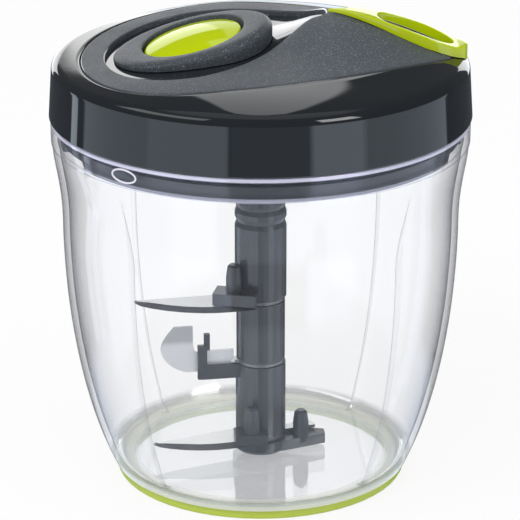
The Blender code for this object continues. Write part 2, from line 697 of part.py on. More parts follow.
def build_shell(look):
    """Glossy outer shell: upright wall, rounded crease and a dome with a sunk seat."""
    angles = fan_angles(FAN_STEPS)
    rim = in_circle(LID_SHOULDER_RADIUS)
    edge = fan_ring(angles, rim)
    egg = fan_ring(angles, in_cover)
    eye = fan_ring(angles, in_recess)
    shoulder = fan_ring(angles, in_circle(LID_SHOULDER_RADIUS - LID_CREASE_ROUND))
    bend = fan_ring(angles, in_circle(LID_SHOULDER_RADIUS - LID_CREASE_ROUND / 4))
    crease_low = LID_CREASE_Z - LID_CREASE_ROUND
    step = between(egg, fan_ring(angles, in_cover, GAP), -1.0)
    top = [raised(between(eye, [(FAN_CENTRE_X, 0.0)] * len(eye), share), seat_z)
           for share in (0.72, 0.54, 0.36, 0.18)]
    top += [raised(between(eye, egg, share), seat_z) for share in (0.0, 0.25, 0.5, 0.75)]
    top += [raised(step, seat_z)]
    top += [raised(between(step, egg, -0.001), dome_z), raised(between(step, shoulder, 0.5), dome_z)]
    top += [raised(shoulder, dome_z), raised(bend, dome_z)]
    top += [raised(edge, lambda x, y: crease_low)]
    foot = fan_ring(angles, in_circle(LID_RADIUS))
    top += [raised(foot, lambda x, y: LID_BOTTOM_Z)]
    inner_foot = fan_ring(angles, in_circle(LID_RADIUS - LID_WALL))
    inner_edge = fan_ring(angles, in_circle(LID_SHOULDER_RADIUS - LID_WALL))
    inside_z = crease_low - LID_WALL
    inner_step = fan_ring(angles, in_cover, LID_WALL)
    ceiling = lambda x, y: seat_z(x, y) - LID_WALL
    low = [raised(inner_foot, lambda x, y: LID_BOTTOM_Z), raised(inner_edge, lambda x, y: inside_z),
           raised(inner_step, lambda x, y: max(inside_z, ceiling(x, y)))]
    low += [raised(between(eye, inner_step, share), ceiling) for share in (0.7, 0.35, 0.0)]
    low += [raised(between(eye, [(FAN_CENTRE_X, 0.0)] * len(eye), share), ceiling)
            for share in (0.40, 0.75)]
    shell = skin("lid_shell", top + low, look)
    combine(shell, cup_hole_guide(look), "DIFFERENCE")
    combine(shell, well_hole_guide("shell_well_hole_guide", look), "DIFFERENCE")
    return shell


def cup_hole_guide(look):
    """Cutter for the hole that the button's cup passes through."""
    radius = HUB_BORE_RADIUS + CUP_WALL + GAP
    outline = [(x, y * BUTTON_STRETCH) for x, y in arc(HUB_X, 0.0, radius, 0.0, FULL_TURN, 38)[:-1]]
    bottom = CUP_BOTTOM_Z - CUT_OVERRUN
    return extrude_outline("cup_hole_guide", outline, bottom, HUB_TOP_Z + CUT_OVERRUN, look)


def well_hole_guide(name, look):
    """Cutter for the finger well's opening."""
    top = LID_CREASE_Z + DOME_RISE + PEAK_RISE + CUT_OVERRUN
    return extrude_outline(name, well_outline(WELL_WALL + GAP), LID_CREASE_Z - CUT_OVERRUN, top, look)


def build_cover(look):
    """Textured cover: a crowned plate with an eye-shaped opening."""
    angles = fan_angles(FAN_STEPS)
    egg = fan_ring(angles, in_cover)
    eye = fan_ring(angles, in_recess)
    lift = dome_z
    under = lambda x, y: dome_z(x, y) - COVER_THICKNESS
    edge_round = COVER_THICKNESS / 4
    soft = lambda x, y: dome_z(x, y) - edge_round
    inner_soft = fan_ring(angles, in_recess, -edge_round)
    outer_soft = fan_ring(angles, in_cover, edge_round)
    rings = [raised(eye, under), raised(eye, soft), raised(inner_soft, lift)]
    rings += [raised(between(inner_soft, outer_soft, share), lift) for share in (0.25, 0.5, 0.75)]
    rings += [raised(outer_soft, lift), raised(egg, soft), raised(egg, under)]
    rings += [raised(between(egg, eye, share), under) for share in (0.25, 0.5, 0.75)]
    cover = skin("top_cover", rings, look, closed=True)
    combine(cover, well_hole_guide("cover_well_hole_guide", look), "DIFFERENCE")
    return cover


def hub_ring(radius, height_at, stretch=BUTTON_STRETCH):
    """Ring about the hub's axis with its heights, stretched along Y as the button is."""
    return [Vector((x, y * stretch, height_at(x, y * stretch)))
            for x, y in arc(HUB_X, 0.0, radius, 0.0, FULL_TURN, 38)[:-1]]


def build_hub(look):
    """Rounded hub round the button, with the cup that guides it."""
    foot = lambda x, y: seat_z(x, y) + RUNNING_GAP
    share_z = lambda share: lambda x, y: foot(x, y) + (hub_top_z(x) - foot(x, y)) * share
    flat = lambda height: lambda x, y: height
    side_shares = ((1.0, 0.45), (0.985, 0.72), (0.945, 0.92), (0.89, 1.0))
    bore = HUB_BORE_RADIUS
    pin_hole = STOP_PIN_RADIUS + GAP
    rings = [hub_ring(HUB_RADIUS, foot, 1.0)]
    rings += [hub_ring(HUB_RADIUS * width, share_z(rise), 1.0) for width, rise in side_shares]
    rings += [hub_ring(bore + CUP_WALL / 2, share_z(0.97)), hub_ring(bore, share_z(0.90))]
    cup_floor = CUP_BOTTOM_Z + CUP_WALL
    rings += [hub_ring(bore, flat(cup_floor)), hub_ring(pin_hole, flat(cup_floor), 1.0)]
    rings += [hub_ring(pin_hole, flat(CUP_BOTTOM_Z), 1.0)]
    rings += [hub_ring(bore + CUP_WALL, flat(CUP_BOTTOM_Z))]
    rings += [hub_ring(bore + CUP_WALL, foot)]
    return skin("button_hub", rings, look, closed=True)


def build_button(look):
    """Domed oval stop button on its plunger pin."""
    edge = lambda drop: lambda x, y: hub_top_z(x) - BUTTON_BELOW_HUB - drop
    flat = lambda height: lambda x, y: height
    soft = BUTTON_CROWN / 3
    rings = [hub_ring(BUTTON_RADIUS, flat(BUTTON_UNDERSIDE_Z)), hub_ring(BUTTON_RADIUS, edge(soft))]
    for share in (0.97, 0.80, 0.50, 0.20):
        rings.append(hub_ring(BUTTON_RADIUS * share, edge(-BUTTON_CROWN * (1 - share ** 2))))
    button = skin("stop_button", rings, look)
    pin_bottom = REEL_TOP_Z + STOP_PIN_REST_GAP
    outline = arc(HUB_X, 0.0, STOP_PIN_RADIUS, 0.0, FULL_TURN, 16)[:-1]
    pin = extrude_outline("stop_pin_guide", outline, pin_bottom, BUTTON_UNDERSIDE_Z + BUTTON_CROWN / 2, look)
    combine(button, pin, "UNION")
    return button


def helix(centre_x, radius, bottom, top, turns, per_turn):
    """Points of an upright coil."""
    count = turns * per_turn
    return [Vector((centre_x + radius * math.cos(FULL_TURN * index / per_turn),
                    radius * math.sin(FULL_TURN * index / per_turn),
                    bottom + (top - bottom) * index / count)) for index in range(count + 1)]


def tube(name, points, radius, look, resolution=1):
    """Round tube along a poly line, with filled ends."""
    curve = bpy.data.curves.new(name, "CURVE")
    curve.dimensions = "3D"
    curve.bevel_depth = radius
    curve.bevel_resolution = resolution
    curve.use_fill_caps = True
    spline = curve.splines.new("POLY")
    spline.points.add(len(points) - 1)
    for slot, point in zip(spline.points, points):
        slot.co = (*point, 1.0)
    curve.materials.append(look)
    made = bpy.data.objects.new(name, curve)
    bpy.context.scene.collection.objects.link(made)
    return made


def build_button_spring(look):
    """Coil spring between the cup's floor and the button."""
    bottom = CUP_BOTTOM_Z + CUP_WALL + GAP + BUTTON_SPRING_WIRE
    top = BUTTON_UNDERSIDE_Z - GAP - BUTTON_SPRING_WIRE
    points = helix(HUB_X, BUTTON_SPRING_RADIUS, bottom, top, BUTTON_SPRING_TURNS, 12)
    return tube("button_spring", points, BUTTON_SPRING_WIRE, look)


# Handle, finger well and cord

def handle_outer_half_width(x):
    """Half width of the handle's outline at a place along X."""
    if x > HANDLE_WIDEST_X:
        run = min(1.0, (x - HANDLE_WIDEST_X) / (HANDLE_END_RADIUS - HANDLE_WIDEST_X))
        return HANDLE_HALF_WIDTH * math.sqrt(1.0 - run ** 2)
    run = max(0.0, (x - HANDLE_TIP_X) / (HANDLE_WIDEST_X - HANDLE_TIP_X))
    return HANDLE_HALF_WIDTH * math.sin(math.pi / 2 * run) ** HANDLE_TAPER_POWER


def in_handle(x, y):
    """Tell whether a plan point lies inside the handle's outline."""
    return abs(y) < handle_outer_half_width(x)


def in_finger_gap(x, y):
    """Tell whether a plan point lies in the handle's finger gap."""
    if x < FINGER_GAP_LEFT_X or x > FINGER_GAP_RIGHT_X:
        return False
    if x > HANDLE_WIDEST_X:
        run = (x - HANDLE_WIDEST_X) / (FINGER_GAP_RIGHT_X - HANDLE_WIDEST_X)
        return abs(y) < (HANDLE_HALF_WIDTH - HANDLE_ARM) * math.sqrt(1.0 - run ** 2)
    near = 1.0 - min(1.0, (x - FINGER_GAP_LEFT_X) / FINGER_GAP_ROUND)
    return abs(y) < (handle_outer_half_width(x) - HANDLE_ARM) * math.sqrt(1.0 - near ** 2)


def handle_ring(inside, inset):
    """Plan ring of the handle about the middle of its finger gap."""
    middle = (FINGER_GAP_LEFT_X + FINGER_GAP_RIGHT_X) / 2
    half = HANDLE_STEPS / 2
    places = sorted(list(range(HANDLE_STEPS)) + [half - 0.5, half + 0.5])
    ring = []
    for place in places:
        angle = FULL_TURN * place / HANDLE_STEPS
        low = 0.0
        high = LID_RADIUS
        for _ in range(40):
            reach = (low + high) / 2
            if inside(middle + reach * math.cos(angle), reach * math.sin(angle)):
                low = reach
            else:
                high = reach
        ring.append((middle + (low - inset) * math.cos(angle), (low - inset) * math.sin(angle)))
    return ring


def handle_under_z(x, y):
    """Underside of the handle, which never falls short of the dome to its right."""
    return dome_z(max(x, PEAK_X), y) + GAP


def handle_top_z(x, y):
    """Upper side of the handle."""
    run = (x - HANDLE_TIP_X) / (HANDLE_WIDEST_X - HANDLE_TIP_X)
    run = max(0.0, min(1.0, run))
    thickness = HANDLE_ROOT_THICKNESS + (HANDLE_THICKNESS - HANDLE_ROOT_THICKNESS) * run
    return handle_under_z(min(x, HANDLE_LEVEL_X), 0.0) * 0.5 + \
        handle_under_z(min(x, HANDLE_LEVEL_X), y) * 0.5 + thickness


def build_handle(look):
    """Teardrop pull handle with a finger gap and the stem that holds the cord."""
    outer = handle_ring(in_handle, 0.0)
    gap = handle_ring(in_finger_gap, 0.0)
    edge = HANDLE_THICKNESS / 8
    outer_soft = handle_ring(in_handle, edge)
    gap_soft = handle_ring(in_finger_gap, -edge)
    lower = lambda x, y: handle_top_z(x, y) - edge
    rings = [raised(outer, handle_under_z), raised(outer, lower), raised(outer_soft, handle_top_z)]
    rings += [raised(between(outer_soft, gap_soft, share), handle_top_z) for share in (0.33, 0.67)]
    rings += [raised(gap_soft, handle_top_z), raised(gap, lower), raised(gap, handle_under_z)]
    rings += [raised(between(gap, outer, share), handle_under_z) for share in (0.33, 0.67)]
    handle = skin("pull_handle", rings, look, closed=True)
    combine(handle, stem_guide(look), "UNION")
    combine(handle, cord_bore_guide(look), "DIFFERENCE")
    combine(handle, bead_pocket_guide(look), "DIFFERENCE")
    return handle


def stem_left_x():
    """Left face of the stem below the handle."""
    return WELL_LEFT_X + STEM_FROM_WELL


def stem_guide(look):
    """Stem below the handle's tongue."""
    left = stem_left_x()
    right = left + STEM_LENGTH
    outline = [(left, -STEM_HALF_WIDTH), (right, -STEM_HALF_WIDTH),
               (right, STEM_HALF_WIDTH), (left, STEM_HALF_WIDTH)]
    top = handle_under_z(left, 0.0) + GAP
    return extrude_outline("handle_stem_guide", outline, STEM_BOTTOM_Z, top, look)


def lay_along_x(item, left, height):
    """Turn a piece made about Z so that it runs along +X from a point."""
    item.data.transform(Matrix.Translation((left, 0.0, height)) @ Matrix.Rotation(math.pi / 2, 4, "Y"))


def cord_bore_guide(look):
    """Cutter for the bore that the cord runs through."""
    radius = CORD_RADIUS + CORD_SIDE_GAP
    outline = arc(0.0, 0.0, radius, 0.0, FULL_TURN, 16)[:-1]
    length = STEM_LENGTH - KNOT_LENGTH + CUT_OVERRUN / 4
    made = extrude_outline("cord_bore_guide", outline, 0.0, length, look)
    lay_along_x(made, stem_left_x() - CUT_OVERRUN / 4, CORD_EXIT_Z)
    return made


def pocket_left_x():
    """Floor of the pocket that the bead sits in."""
    return stem_left_x() + STEM_LENGTH - KNOT_LENGTH - 2 * GAP


def bead_pocket_guide(look):
    """Cutter for the bead's pocket in the stem's right face."""
    outline = arc(0.0, 0.0, KNOT_RADIUS + GAP, 0.0, FULL_TURN, 16)[:-1]
    length = stem_left_x() + STEM_LENGTH + CUT_OVERRUN / 4 - pocket_left_x()
    made = extrude_outline("bead_pocket_guide", outline, 0.0, length, look)
    lay_along_x(made, pocket_left_x(), CORD_EXIT_Z)
    return made


def build_well(look):
    """Finger well: an open tub let into the dome below the handle."""
    outer = well_outline(WELL_WALL)
    inner = well_outline(0.0)
    lip = lambda x, y: dome_z(x, y) - GAP
    flat = lambda height: lambda x, y: height
    under = WELL_FLOOR_Z - WELL_WALL
    rings = [raised(outer, flat(under)), raised(outer, lip), raised(inner, lip),
             raised(inner, flat(WELL_FLOOR_Z))]
    well = skin("finger_well", rings, look)
    outline = arc(0.0, 0.0, EYELET_RADIUS + GAP, 0.0, FULL_TURN, 16)[:-1]
    hole = extrude_outline("eyelet_hole_guide", outline, 0.0, WELL_WALL + 2 * CUT_OVERRUN / 4, look)
    lay_along_x(hole, WELL_LEFT_X - WELL_WALL - CUT_OVERRUN / 4, CORD_EXIT_Z)
    combine(well, hole, "DIFFERENCE")
    return well


def build_eyelet(look):
    """Smooth steel eyelet in the well's wall, with its flange inside the lid."""
    bore = CORD_RADIUS + CORD_SIDE_GAP
    end = EYELET_FLANGE + GAP + WELL_WALL
    profile = [(bore, 0.0), (EYELET_FLANGE_RADIUS, 0.0), (EYELET_FLANGE_RADIUS, EYELET_FLANGE),
               (EYELET_RADIUS, EYELET_FLANGE), (EYELET_RADIUS, end), (bore, end)]
    eyelet = revolve("cord_eyelet", profile, look, steps=20)
    lay_along_x(eyelet, WELL_LEFT_X - WELL_WALL - GAP - EYELET_FLANGE, CORD_EXIT_Z)
    return eyelet


def build_knot(look):
    """Crimped bead that stops the cord's end in the stem."""
    soft = KNOT_RADIUS / 4
    profile = [(0.0, 0.0), (KNOT_RADIUS - soft, 0.0), (KNOT_RADIUS, soft),
               (KNOT_RADIUS, KNOT_LENGTH - soft), (KNOT_RADIUS - soft, KNOT_LENGTH), (0.0, KNOT_LENGTH)]
    knot = revolve("cord_bead", profile, look, steps=14)
    lay_along_x(knot, pocket_left_x() + GAP, CORD_EXIT_Z)
    return knot


def winding_z():
    """Height of the cord's centre line between the reel's flanges."""
    return REEL_BOTTOM_Z + REEL_LOWER_FLANGE + GAP + CORD_RADIUS


def winding_points():
    """Flat spiral of cord on the reel, ending where the cord leaves it."""
    per_turn = 24
    count = round(WINDING_TURNS * per_turn)
    end_angle = -math.pi / 2
    points = []
    for index in range(count + 1):
        back = (count - index) / per_turn
        radius = WINDING_OUTER_RADIUS - WINDING_PITCH * back
        angle = end_angle - FULL_TURN * back
        points.append(Vector((radius * math.cos(angle), radius * math.sin(angle), winding_z())))
    return points


def least_gap(points, radius, skip):
    """Least clear distance between two stretches of one tube."""
    least = math.inf
    for index, point in enumerate(points):
        for other in points[index + skip:]:
            least = min(least, (point - other).length - 2 * radius)
    return least


def smooth_route(points, per_span):
    """Points on a smooth curve through the route's own points."""
    padded = [points[0] * 2 - points[1]] + points + [points[-1] * 2 - points[-2]]
    made = []
    for p0, p1, p2, p3 in zip(padded, padded[1:], padded[2:], padded[3:]):
        for index in range(per_span):
            t = index / per_span
            made.append(0.5 * (2 * p1 + (p2 - p0) * t + (2 * p0 - 5 * p1 + 4 * p2 - p3) * t * t
                               + (3 * p1 - p0 - 3 * p2 + p3) * t ** 3))
    return made + [points[-1]]


def cord_route():
    """Cord from the reel's rim up to the eyelet and on to the handle's stem."""
    level = winding_z()
    side = -WINDING_OUTER_RADIUS - 2 * CORD_RADIUS - GAP
    round_reel = REEL_FLANGE_RADIUS + 2 * CORD_RADIUS + GAP
    end = pocket_left_x()
    rise = CORD_EXIT_Z - level
    first = 2 * GAP
    eyelet = WELL_LEFT_X - WELL_WALL - EYELET_FLANGE
    clear = REEL_FLANGE_RADIUS * 0.6
    return [Vector((first, side, level)), Vector((clear / 2, side, level)), Vector((clear, side, level)),
            Vector((round_reel * 0.75, -round_reel * 0.66, level + rise * 0.14)),
            Vector((eyelet * 0.92, side * 0.46, level + rise * 0.46)),
            Vector((eyelet * 0.85, side * 0.17, level + rise * 0.80)),
            Vector((eyelet * 0.84, side * 0.03, level + rise * 0.97)),
            Vector((eyelet * 0.92, 0.0, CORD_EXIT_Z)), Vector((eyelet, 0.0, CORD_EXIT_Z)),
            Vector(((eyelet + end) / 2, 0.0, CORD_EXIT_Z)), Vector((end, 0.0, CORD_EXIT_Z))]


# Reel, its spring and the lid's base

def build_reel(look):
    """Cord reel: toothed top flange, drum, lower flange and the neck of the drive."""
    drum = WINDING_OUTER_RADIUS - WINDING_PITCH * WINDING_TURNS - CORD_RADIUS - CORD_SIDE_GAP
    low = REEL_BOTTOM_Z + REEL_LOWER_FLANGE
    high = low + 2 * (CORD_RADIUS + GAP)
    bore = ARBOR_RADIUS + RUNNING_GAP
    neck_bottom = base_plate_bottom() - GAP
    profile = [(bore, neck_bottom), (REEL_NECK_RADIUS, neck_bottom), (REEL_NECK_RADIUS, REEL_BOTTOM_Z),
               (REEL_FLANGE_RADIUS, REEL_BOTTOM_Z), (REEL_FLANGE_RADIUS, low), (drum, low),
               (drum, high), (REEL_TOOTH_ROOT_RADIUS, high), (REEL_TOOTH_ROOT_RADIUS, REEL_TOP_Z),
               (bore, REEL_TOP_Z)]
    reel = revolve("cord_reel", profile, look, steps=32)
    combine(reel, tooth_ring_guide(high, look), "UNION")
    combine(reel, spindle_guide(look), "UNION")
    return reel


def tooth_ring_guide(bottom, look):
    """Ring of stop teeth round the reel's top flange."""
    outline = []
    pitch = FULL_TURN / REEL_TOOTH_COUNT
    half = pitch * REEL_TOOTH_SHARE / 2
    root = REEL_TOOTH_ROOT_RADIUS
    for index in range(REEL_TOOTH_COUNT):
        centre = pitch * (index + 0.5)
        for radius, angle in ((root, -half), (REEL_FLANGE_RADIUS, -half),
                              (REEL_FLANGE_RADIUS, half), (root, half)):
            outline.append((radius * math.cos(centre + angle), radius * math.sin(centre + angle)))
    inner = REEL_TOOTH_ROOT_RADIUS - CORD_RADIUS
    hole = extrude_outline("tooth_ring_bore_guide", arc(0.0, 0.0, inner, 0.0, FULL_TURN, 24)[:-1],
                           bottom - CUT_OVERRUN, REEL_TOP_Z + CUT_OVERRUN, look)
    ring = extrude_outline("tooth_ring_guide", outline, bottom, REEL_TOP_Z, look)
    combine(ring, hole, "DIFFERENCE")
    return ring


def base_plate_bottom():
    """Underside of the lid's base plate."""
    return LID_BOTTOM_Z - BASE_PLATE / 2


def spindle_guide(look):
    """Hexagonal spindle below the reel that turns the blade stack."""
    radius = SPINDLE_ACROSS_FLATS / math.sqrt(3.0)
    outline = arc(0.0, 0.0, radius, 0.0, FULL_TURN, 6)[:-1]
    top = base_plate_bottom() + BASE_PLATE / 2
    return extrude_outline("spindle_guide", outline, SPINDLE_BOTTOM_Z, top, look)


def build_arbor(look):
    """Fixed axle on which the reel turns, with its head above the reel."""
    bottom = base_plate_bottom() + BASE_PLATE
    head = REEL_TOP_Z + RUNNING_GAP
    profile = [(0.0, bottom + GAP), (ARBOR_RADIUS, bottom + GAP), (ARBOR_RADIUS, head),
               (ARBOR_HEAD_RADIUS, head), (ARBOR_HEAD_RADIUS, head + ARBOR_HEAD), (0.0, head + ARBOR_HEAD)]
    return revolve("reel_axle", profile, look, steps=24)


def build_spring_cup(look):
    """Open cup on the base plate that holds the recoil spring."""
    bottom = base_plate_bottom() + BASE_PLATE + GAP
    inner = SPRING_CUP_RADIUS - SPRING_CUP_WALL
    bore = REEL_NECK_RADIUS + RUNNING_GAP
    top = REEL_BOTTOM_Z - GAP
    floor = bottom + SPRING_CUP_FLOOR
    profile = [(bore, bottom), (SPRING_CUP_RADIUS, bottom), (SPRING_CUP_RADIUS, top),
               (inner, top), (inner, floor), (bore, floor)]
    return revolve("spring_cup", profile, look, steps=40)


def build_recoil_spring(look):
    """Flat spiral spring that winds the cord back."""
    per_turn = 16
    count = SPRING_TURNS * per_turn
    bottom = base_plate_bottom() + BASE_PLATE + 2 * GAP + SPRING_CUP_FLOOR
    top = REEL_BOTTOM_Z - GAP
    half = SPRING_STRIP / 2
    rings = []
    for index in range(count + 1):
        share = index / count
        radius = SPRING_INNER_RADIUS + (SPRING_OUTER_RADIUS - SPRING_INNER_RADIUS) * share
        angle = FULL_TURN * SPRING_TURNS * share
        rings.append([Vector((reach * math.cos(angle), reach * math.sin(angle), height))
                      for reach, height in ((radius - half, bottom), (radius + half, bottom),
                                            (radius + half, top), (radius - half, top))])
    return skin("recoil_spring", rings, look)


def build_base_plate(look):
    """Plate that closes the lid's mechanism from below, with its skirt."""
    bottom = base_plate_bottom()
    top = bottom + BASE_PLATE
    outer = LID_RADIUS - LID_WALL - BASE_RADIAL_GAP
    skirt_in = SKIRT_OUTER_RADIUS - SKIRT_WALL
    bore = REEL_NECK_RADIUS + RUNNING_GAP + BUSH_WALL + GAP
    rim_under = LID_BOTTOM_Z + GAP
    angles = skirt_angles()
    profile = [(bore, top), (outer, top), (outer, rim_under), (SKIRT_OUTER_RADIUS, rim_under),
               (SKIRT_OUTER_RADIUS, None), (skirt_in, None), (skirt_in, bottom), (bore, bottom)]
    rings = []
    for radius, height in profile:
        rings.append([Vector((radius * math.cos(angle), radius * math.sin(angle),
                              low if height is None else height)) for angle, low in angles])
    plate = skin("lid_base", rings, look, closed=True)
    for index, angle in enumerate(SCREW_ANGLES):
        combine(plate, screw_hole_guide("screw_hole_guide_%d" % (index + 1), angle, look), "DIFFERENCE")
    return plate


def skirt_angles():
    """Angles round the skirt with its lower edge at each, notches included."""
    made = []
    edge = SKIRT_NOTCH_HALF_ANGLE / 12
    for middle in SKIRT_NOTCH_ANGLES:
        centre = math.radians(middle)
        half = SKIRT_NOTCH_HALF_ANGLE
        made += [(centre - half - edge, SKIRT_BOTTOM_Z), (centre - half, SKIRT_NOTCH_Z),
                 (centre, SKIRT_NOTCH_Z), (centre + half, SKIRT_NOTCH_Z),
                 (centre + half + edge, SKIRT_BOTTOM_Z)]
    steps = 44
    for index in range(steps):
        angle = FULL_TURN * (index + 0.5) / steps
        apart = min(abs((angle - math.radians(middle) + math.pi) % FULL_TURN - math.pi)
                    for middle in SKIRT_NOTCH_ANGLES)
        if apart > SKIRT_NOTCH_HALF_ANGLE + 3 * edge:
            made.append((angle, SKIRT_BOTTOM_Z))
    return sorted(made)


def screw_place(angle):
    """Plan place of a screw on its circle."""
    return (SCREW_CIRCLE_RADIUS * math.cos(math.radians(angle)),
            SCREW_CIRCLE_RADIUS * math.sin(math.radians(angle)))


def screw_hole_guide(name, angle, look):
    """Cutter for one screw hole in the base plate."""
    x, y = screw_place(angle)
    radius = SCREW_SHANK_RADIUS + GAP
    bottom = base_plate_bottom()
    return extrude_outline(name, arc(x, y, radius, 0.0, FULL_TURN, 12)[:-1],
                           bottom - CUT_OVERRUN, bottom + BASE_PLATE + CUT_OVERRUN, look)


def build_screws(look):
    """Three screws that hold the base plate to the shell's posts."""
    bottom = base_plate_bottom() - GAP
    made = []
    for index, angle in enumerate(SCREW_ANGLES):
        x, y = screw_place(angle)
        profile = [(0.0, bottom - SCREW_HEAD), (SCREW_HEAD_RADIUS - SCREW_HEAD / 4, bottom - SCREW_HEAD),
                   (SCREW_HEAD_RADIUS, bottom - SCREW_HEAD / 2), (SCREW_HEAD_RADIUS, bottom),
                   (SCREW_SHANK_RADIUS, bottom), (SCREW_SHANK_RADIUS, bottom + SCREW_LENGTH),
                   (0.0, bottom + SCREW_LENGTH)]
        screw = revolve("base_screw_%d" % (index + 1), profile, look, steps=12)
        screw.data.transform(Matrix.Translation((x, y, 0.0)))
        made.append(screw)
    return made


def build_posts(look):
    """Posts below the dome that the base screws bite into."""
    made = []
    for index, angle in enumerate(SCREW_ANGLES):
        x, y = screw_place(angle)
        bottom = base_plate_bottom() + BASE_PLATE + GAP
        top = seat_z(x, y) - LID_WALL - GAP - SCREW_POST_RADIUS / 3
        hole = SCREW_SHANK_RADIUS + GAP
        depth = bottom + SCREW_LENGTH - BASE_PLATE
        profile = [(hole, bottom), (SCREW_POST_RADIUS, bottom), (SCREW_POST_RADIUS, top), (0.0, top),
                   (0.0, depth), (hole, depth)]
        post = revolve("screw_post_%d" % (index + 1), profile, look, steps=14)
        post.data.transform(Matrix.Translation((x, y, 0.0)))
        made.append(post)
    return made


def build_bush(look):
    """Plain bush that the reel's neck turns in."""
    inner = REEL_NECK_RADIUS + RUNNING_GAP
    bottom = base_plate_bottom()
    profile = [(inner, bottom), (inner + BUSH_WALL, bottom), (inner + BUSH_WALL, bottom + BASE_PLATE),
               (inner, bottom + BASE_PLATE)]
    return revolve("neck_bush", profile, look, steps=32)


def build_seal(look):
    """Soft lip seal round the skirt."""
    inner = SKIRT_OUTER_RADIUS + GAP
    outer = inner + SEAL_RADIAL
    low = SEAL_Z - SEAL_HEIGHT / 2
    high = SEAL_Z + SEAL_HEIGHT / 2
    profile = [(inner, low), (outer, low + SEAL_HEIGHT / 4), (outer, low + SEAL_HEIGHT / 2),
               (inner + SEAL_RADIAL / 2, SEAL_Z), (outer, high - SEAL_HEIGHT / 4), (inner, high)]
    return revolve("lid_seal", profile, look, steps=48)


# Blade stack

def hexagon(across_flats):
    """Plan outline of a hexagon."""
    return arc(0.0, 0.0, across_flats / math.sqrt(3.0), 0.0, FULL_TURN, 6)[:-1]


def sleeve(name, radius, bottom, top, look, waist=()):
    """Tube that fits the core rod, with optional grooves round its outside."""
    bore = CORE_RADIUS + GAP
    side = [(radius, bottom)]
    for centre in waist:
        half = NECK_GROOVE_HEIGHT / 2
        side += [(radius, centre - half), (radius - NECK_GROOVE, centre), (radius, centre + half)]
    side.append((radius, top))
    return revolve(name, [(bore, bottom)] + side + [(bore, top)], look, steps=30)


def peg_guide(name, x, y, bottom, look):
    """Locating peg that stands on an arm."""
    soft = PEG_TOP_RADIUS / 3
    top = bottom + PEG_HEIGHT
    profile = [(0.0, bottom - ARM_THICKNESS / 2), (PEG_RADIUS, bottom - ARM_THICKNESS / 2),
               (PEG_RADIUS, bottom + PEG_HEIGHT / 2), (PEG_TOP_RADIUS, top - soft),
               (PEG_TOP_RADIUS - soft, top), (0.0, top)]
    peg = revolve(name, profile, look, steps=16)
    peg.data.transform(Matrix.Translation((x, y, 0.0)))
    return peg


def swept_arm(name, reach, half_root, half_tip, angle, bottom, top, look):
    """Arm that runs out from the axis at an angle and narrows to a blunt tip."""
    inner = CORE_RADIUS + BLADE_THICKNESS
    plan = [(inner, -half_root), (reach, -half_tip), (reach, half_tip), (inner, half_root)]
    return turned_plate(name, plan, angle, bottom, top, look)


def turned_plate(name, plan, angle, bottom, top, look):
    """Raise a plan outline that is given along an arm's direction."""
    turned = [(x * math.cos(angle) - y * math.sin(angle), x * math.sin(angle) + y * math.cos(angle))
              for x, y in plan]
    return extrude_outline(name, turned, bottom, top, look)


def blade_wing(name, sections, bottom, look):
    """Flat blade through (back edge, cutting edge) pairs, ground along the cutting edge."""
    top = bottom + BLADE_THICKNESS
    rings = []
    for back, edge in sections:
        run = Vector((edge[0] - back[0], edge[1] - back[1]))
        ground = Vector(edge) - run.normalized() * min(BLADE_GRIND, run.length / 2)
        rings.append([Vector((*back, bottom)), Vector((*edge, bottom)),
                      Vector((*ground, top)), Vector((*back, top))])
    return skin(name, rings, look)


def blade_eye_guide(name, bottom, look):
    """Ring at a blade's root that threads on the core."""
    outline = arc(0.0, 0.0, EYE_RADIUS, 0.0, FULL_TURN, 32)[:-1]
    return extrude_outline(name, outline, bottom, bottom + BLADE_THICKNESS, look)


def blade_bore_guide(name, bottom, look):
    """Cutter for a blade's bore."""
    outline = arc(0.0, 0.0, CORE_RADIUS + GAP, 0.0, FULL_TURN, 32)[:-1]
    return extrude_outline(name, outline, bottom - CUT_OVERRUN / 4,
                           bottom + BLADE_THICKNESS + CUT_OVERRUN / 4, look)


def curved_wing(name, length, angle, back, front, bottom, look):
    """Sickle-shaped wing: full at its root, bowed in front and drawn to a point."""
    shares = (0.06, 0.20, 0.34, 0.48, 0.62, 0.76, 0.88, 0.96, 1.0)
    sections = []
    for share in shares:
        along = length * share
        bow = front * (math.sin(math.pi / 2 * (1.0 - share)) ** 0.5 + 0.35 * math.sin(math.pi * share))
        rear = back * (1.0 - 1.15 * share)
        sections.append(((along, -rear), (along, bow + STEP_BACK)))
    turned = []
    for pair in sections:
        turned.append(tuple((x * math.cos(angle) - y * math.sin(angle),
                             x * math.sin(angle) + y * math.cos(angle)) for x, y in pair))
    return blade_wing(name, turned, bottom, look)


def upper_blade_z():
    """Underside of the upper blade, below the upper segment."""
    return UPPER_SEAM_Z - GAP - BLADE_THICKNESS


def middle_blade_z():
    """Underside of the middle blade, below the middle segment."""
    return MIDDLE_SEAM_Z - GAP - BLADE_THICKNESS


def lower_blade_z():
    """Underside of the lower blade, on the base hub."""
    return BLADE_STACK_BOTTOM_Z + BASE_HUB_HEIGHT + GAP


def build_upper_blade(look):
    """Upper blade."""
    bottom = upper_blade_z()
    blade = curved_wing("upper_blade", UPPER_WING_LENGTH, UPPER_WING_ANGLE, UPPER_WING_BACK,
                        UPPER_WING_FRONT, bottom, look)
    combine(blade, blade_eye_guide("upper_eye_guide", bottom, look), "UNION")
    combine(blade, blade_bore_guide("upper_bore_guide", bottom, look), "DIFFERENCE")
    return blade


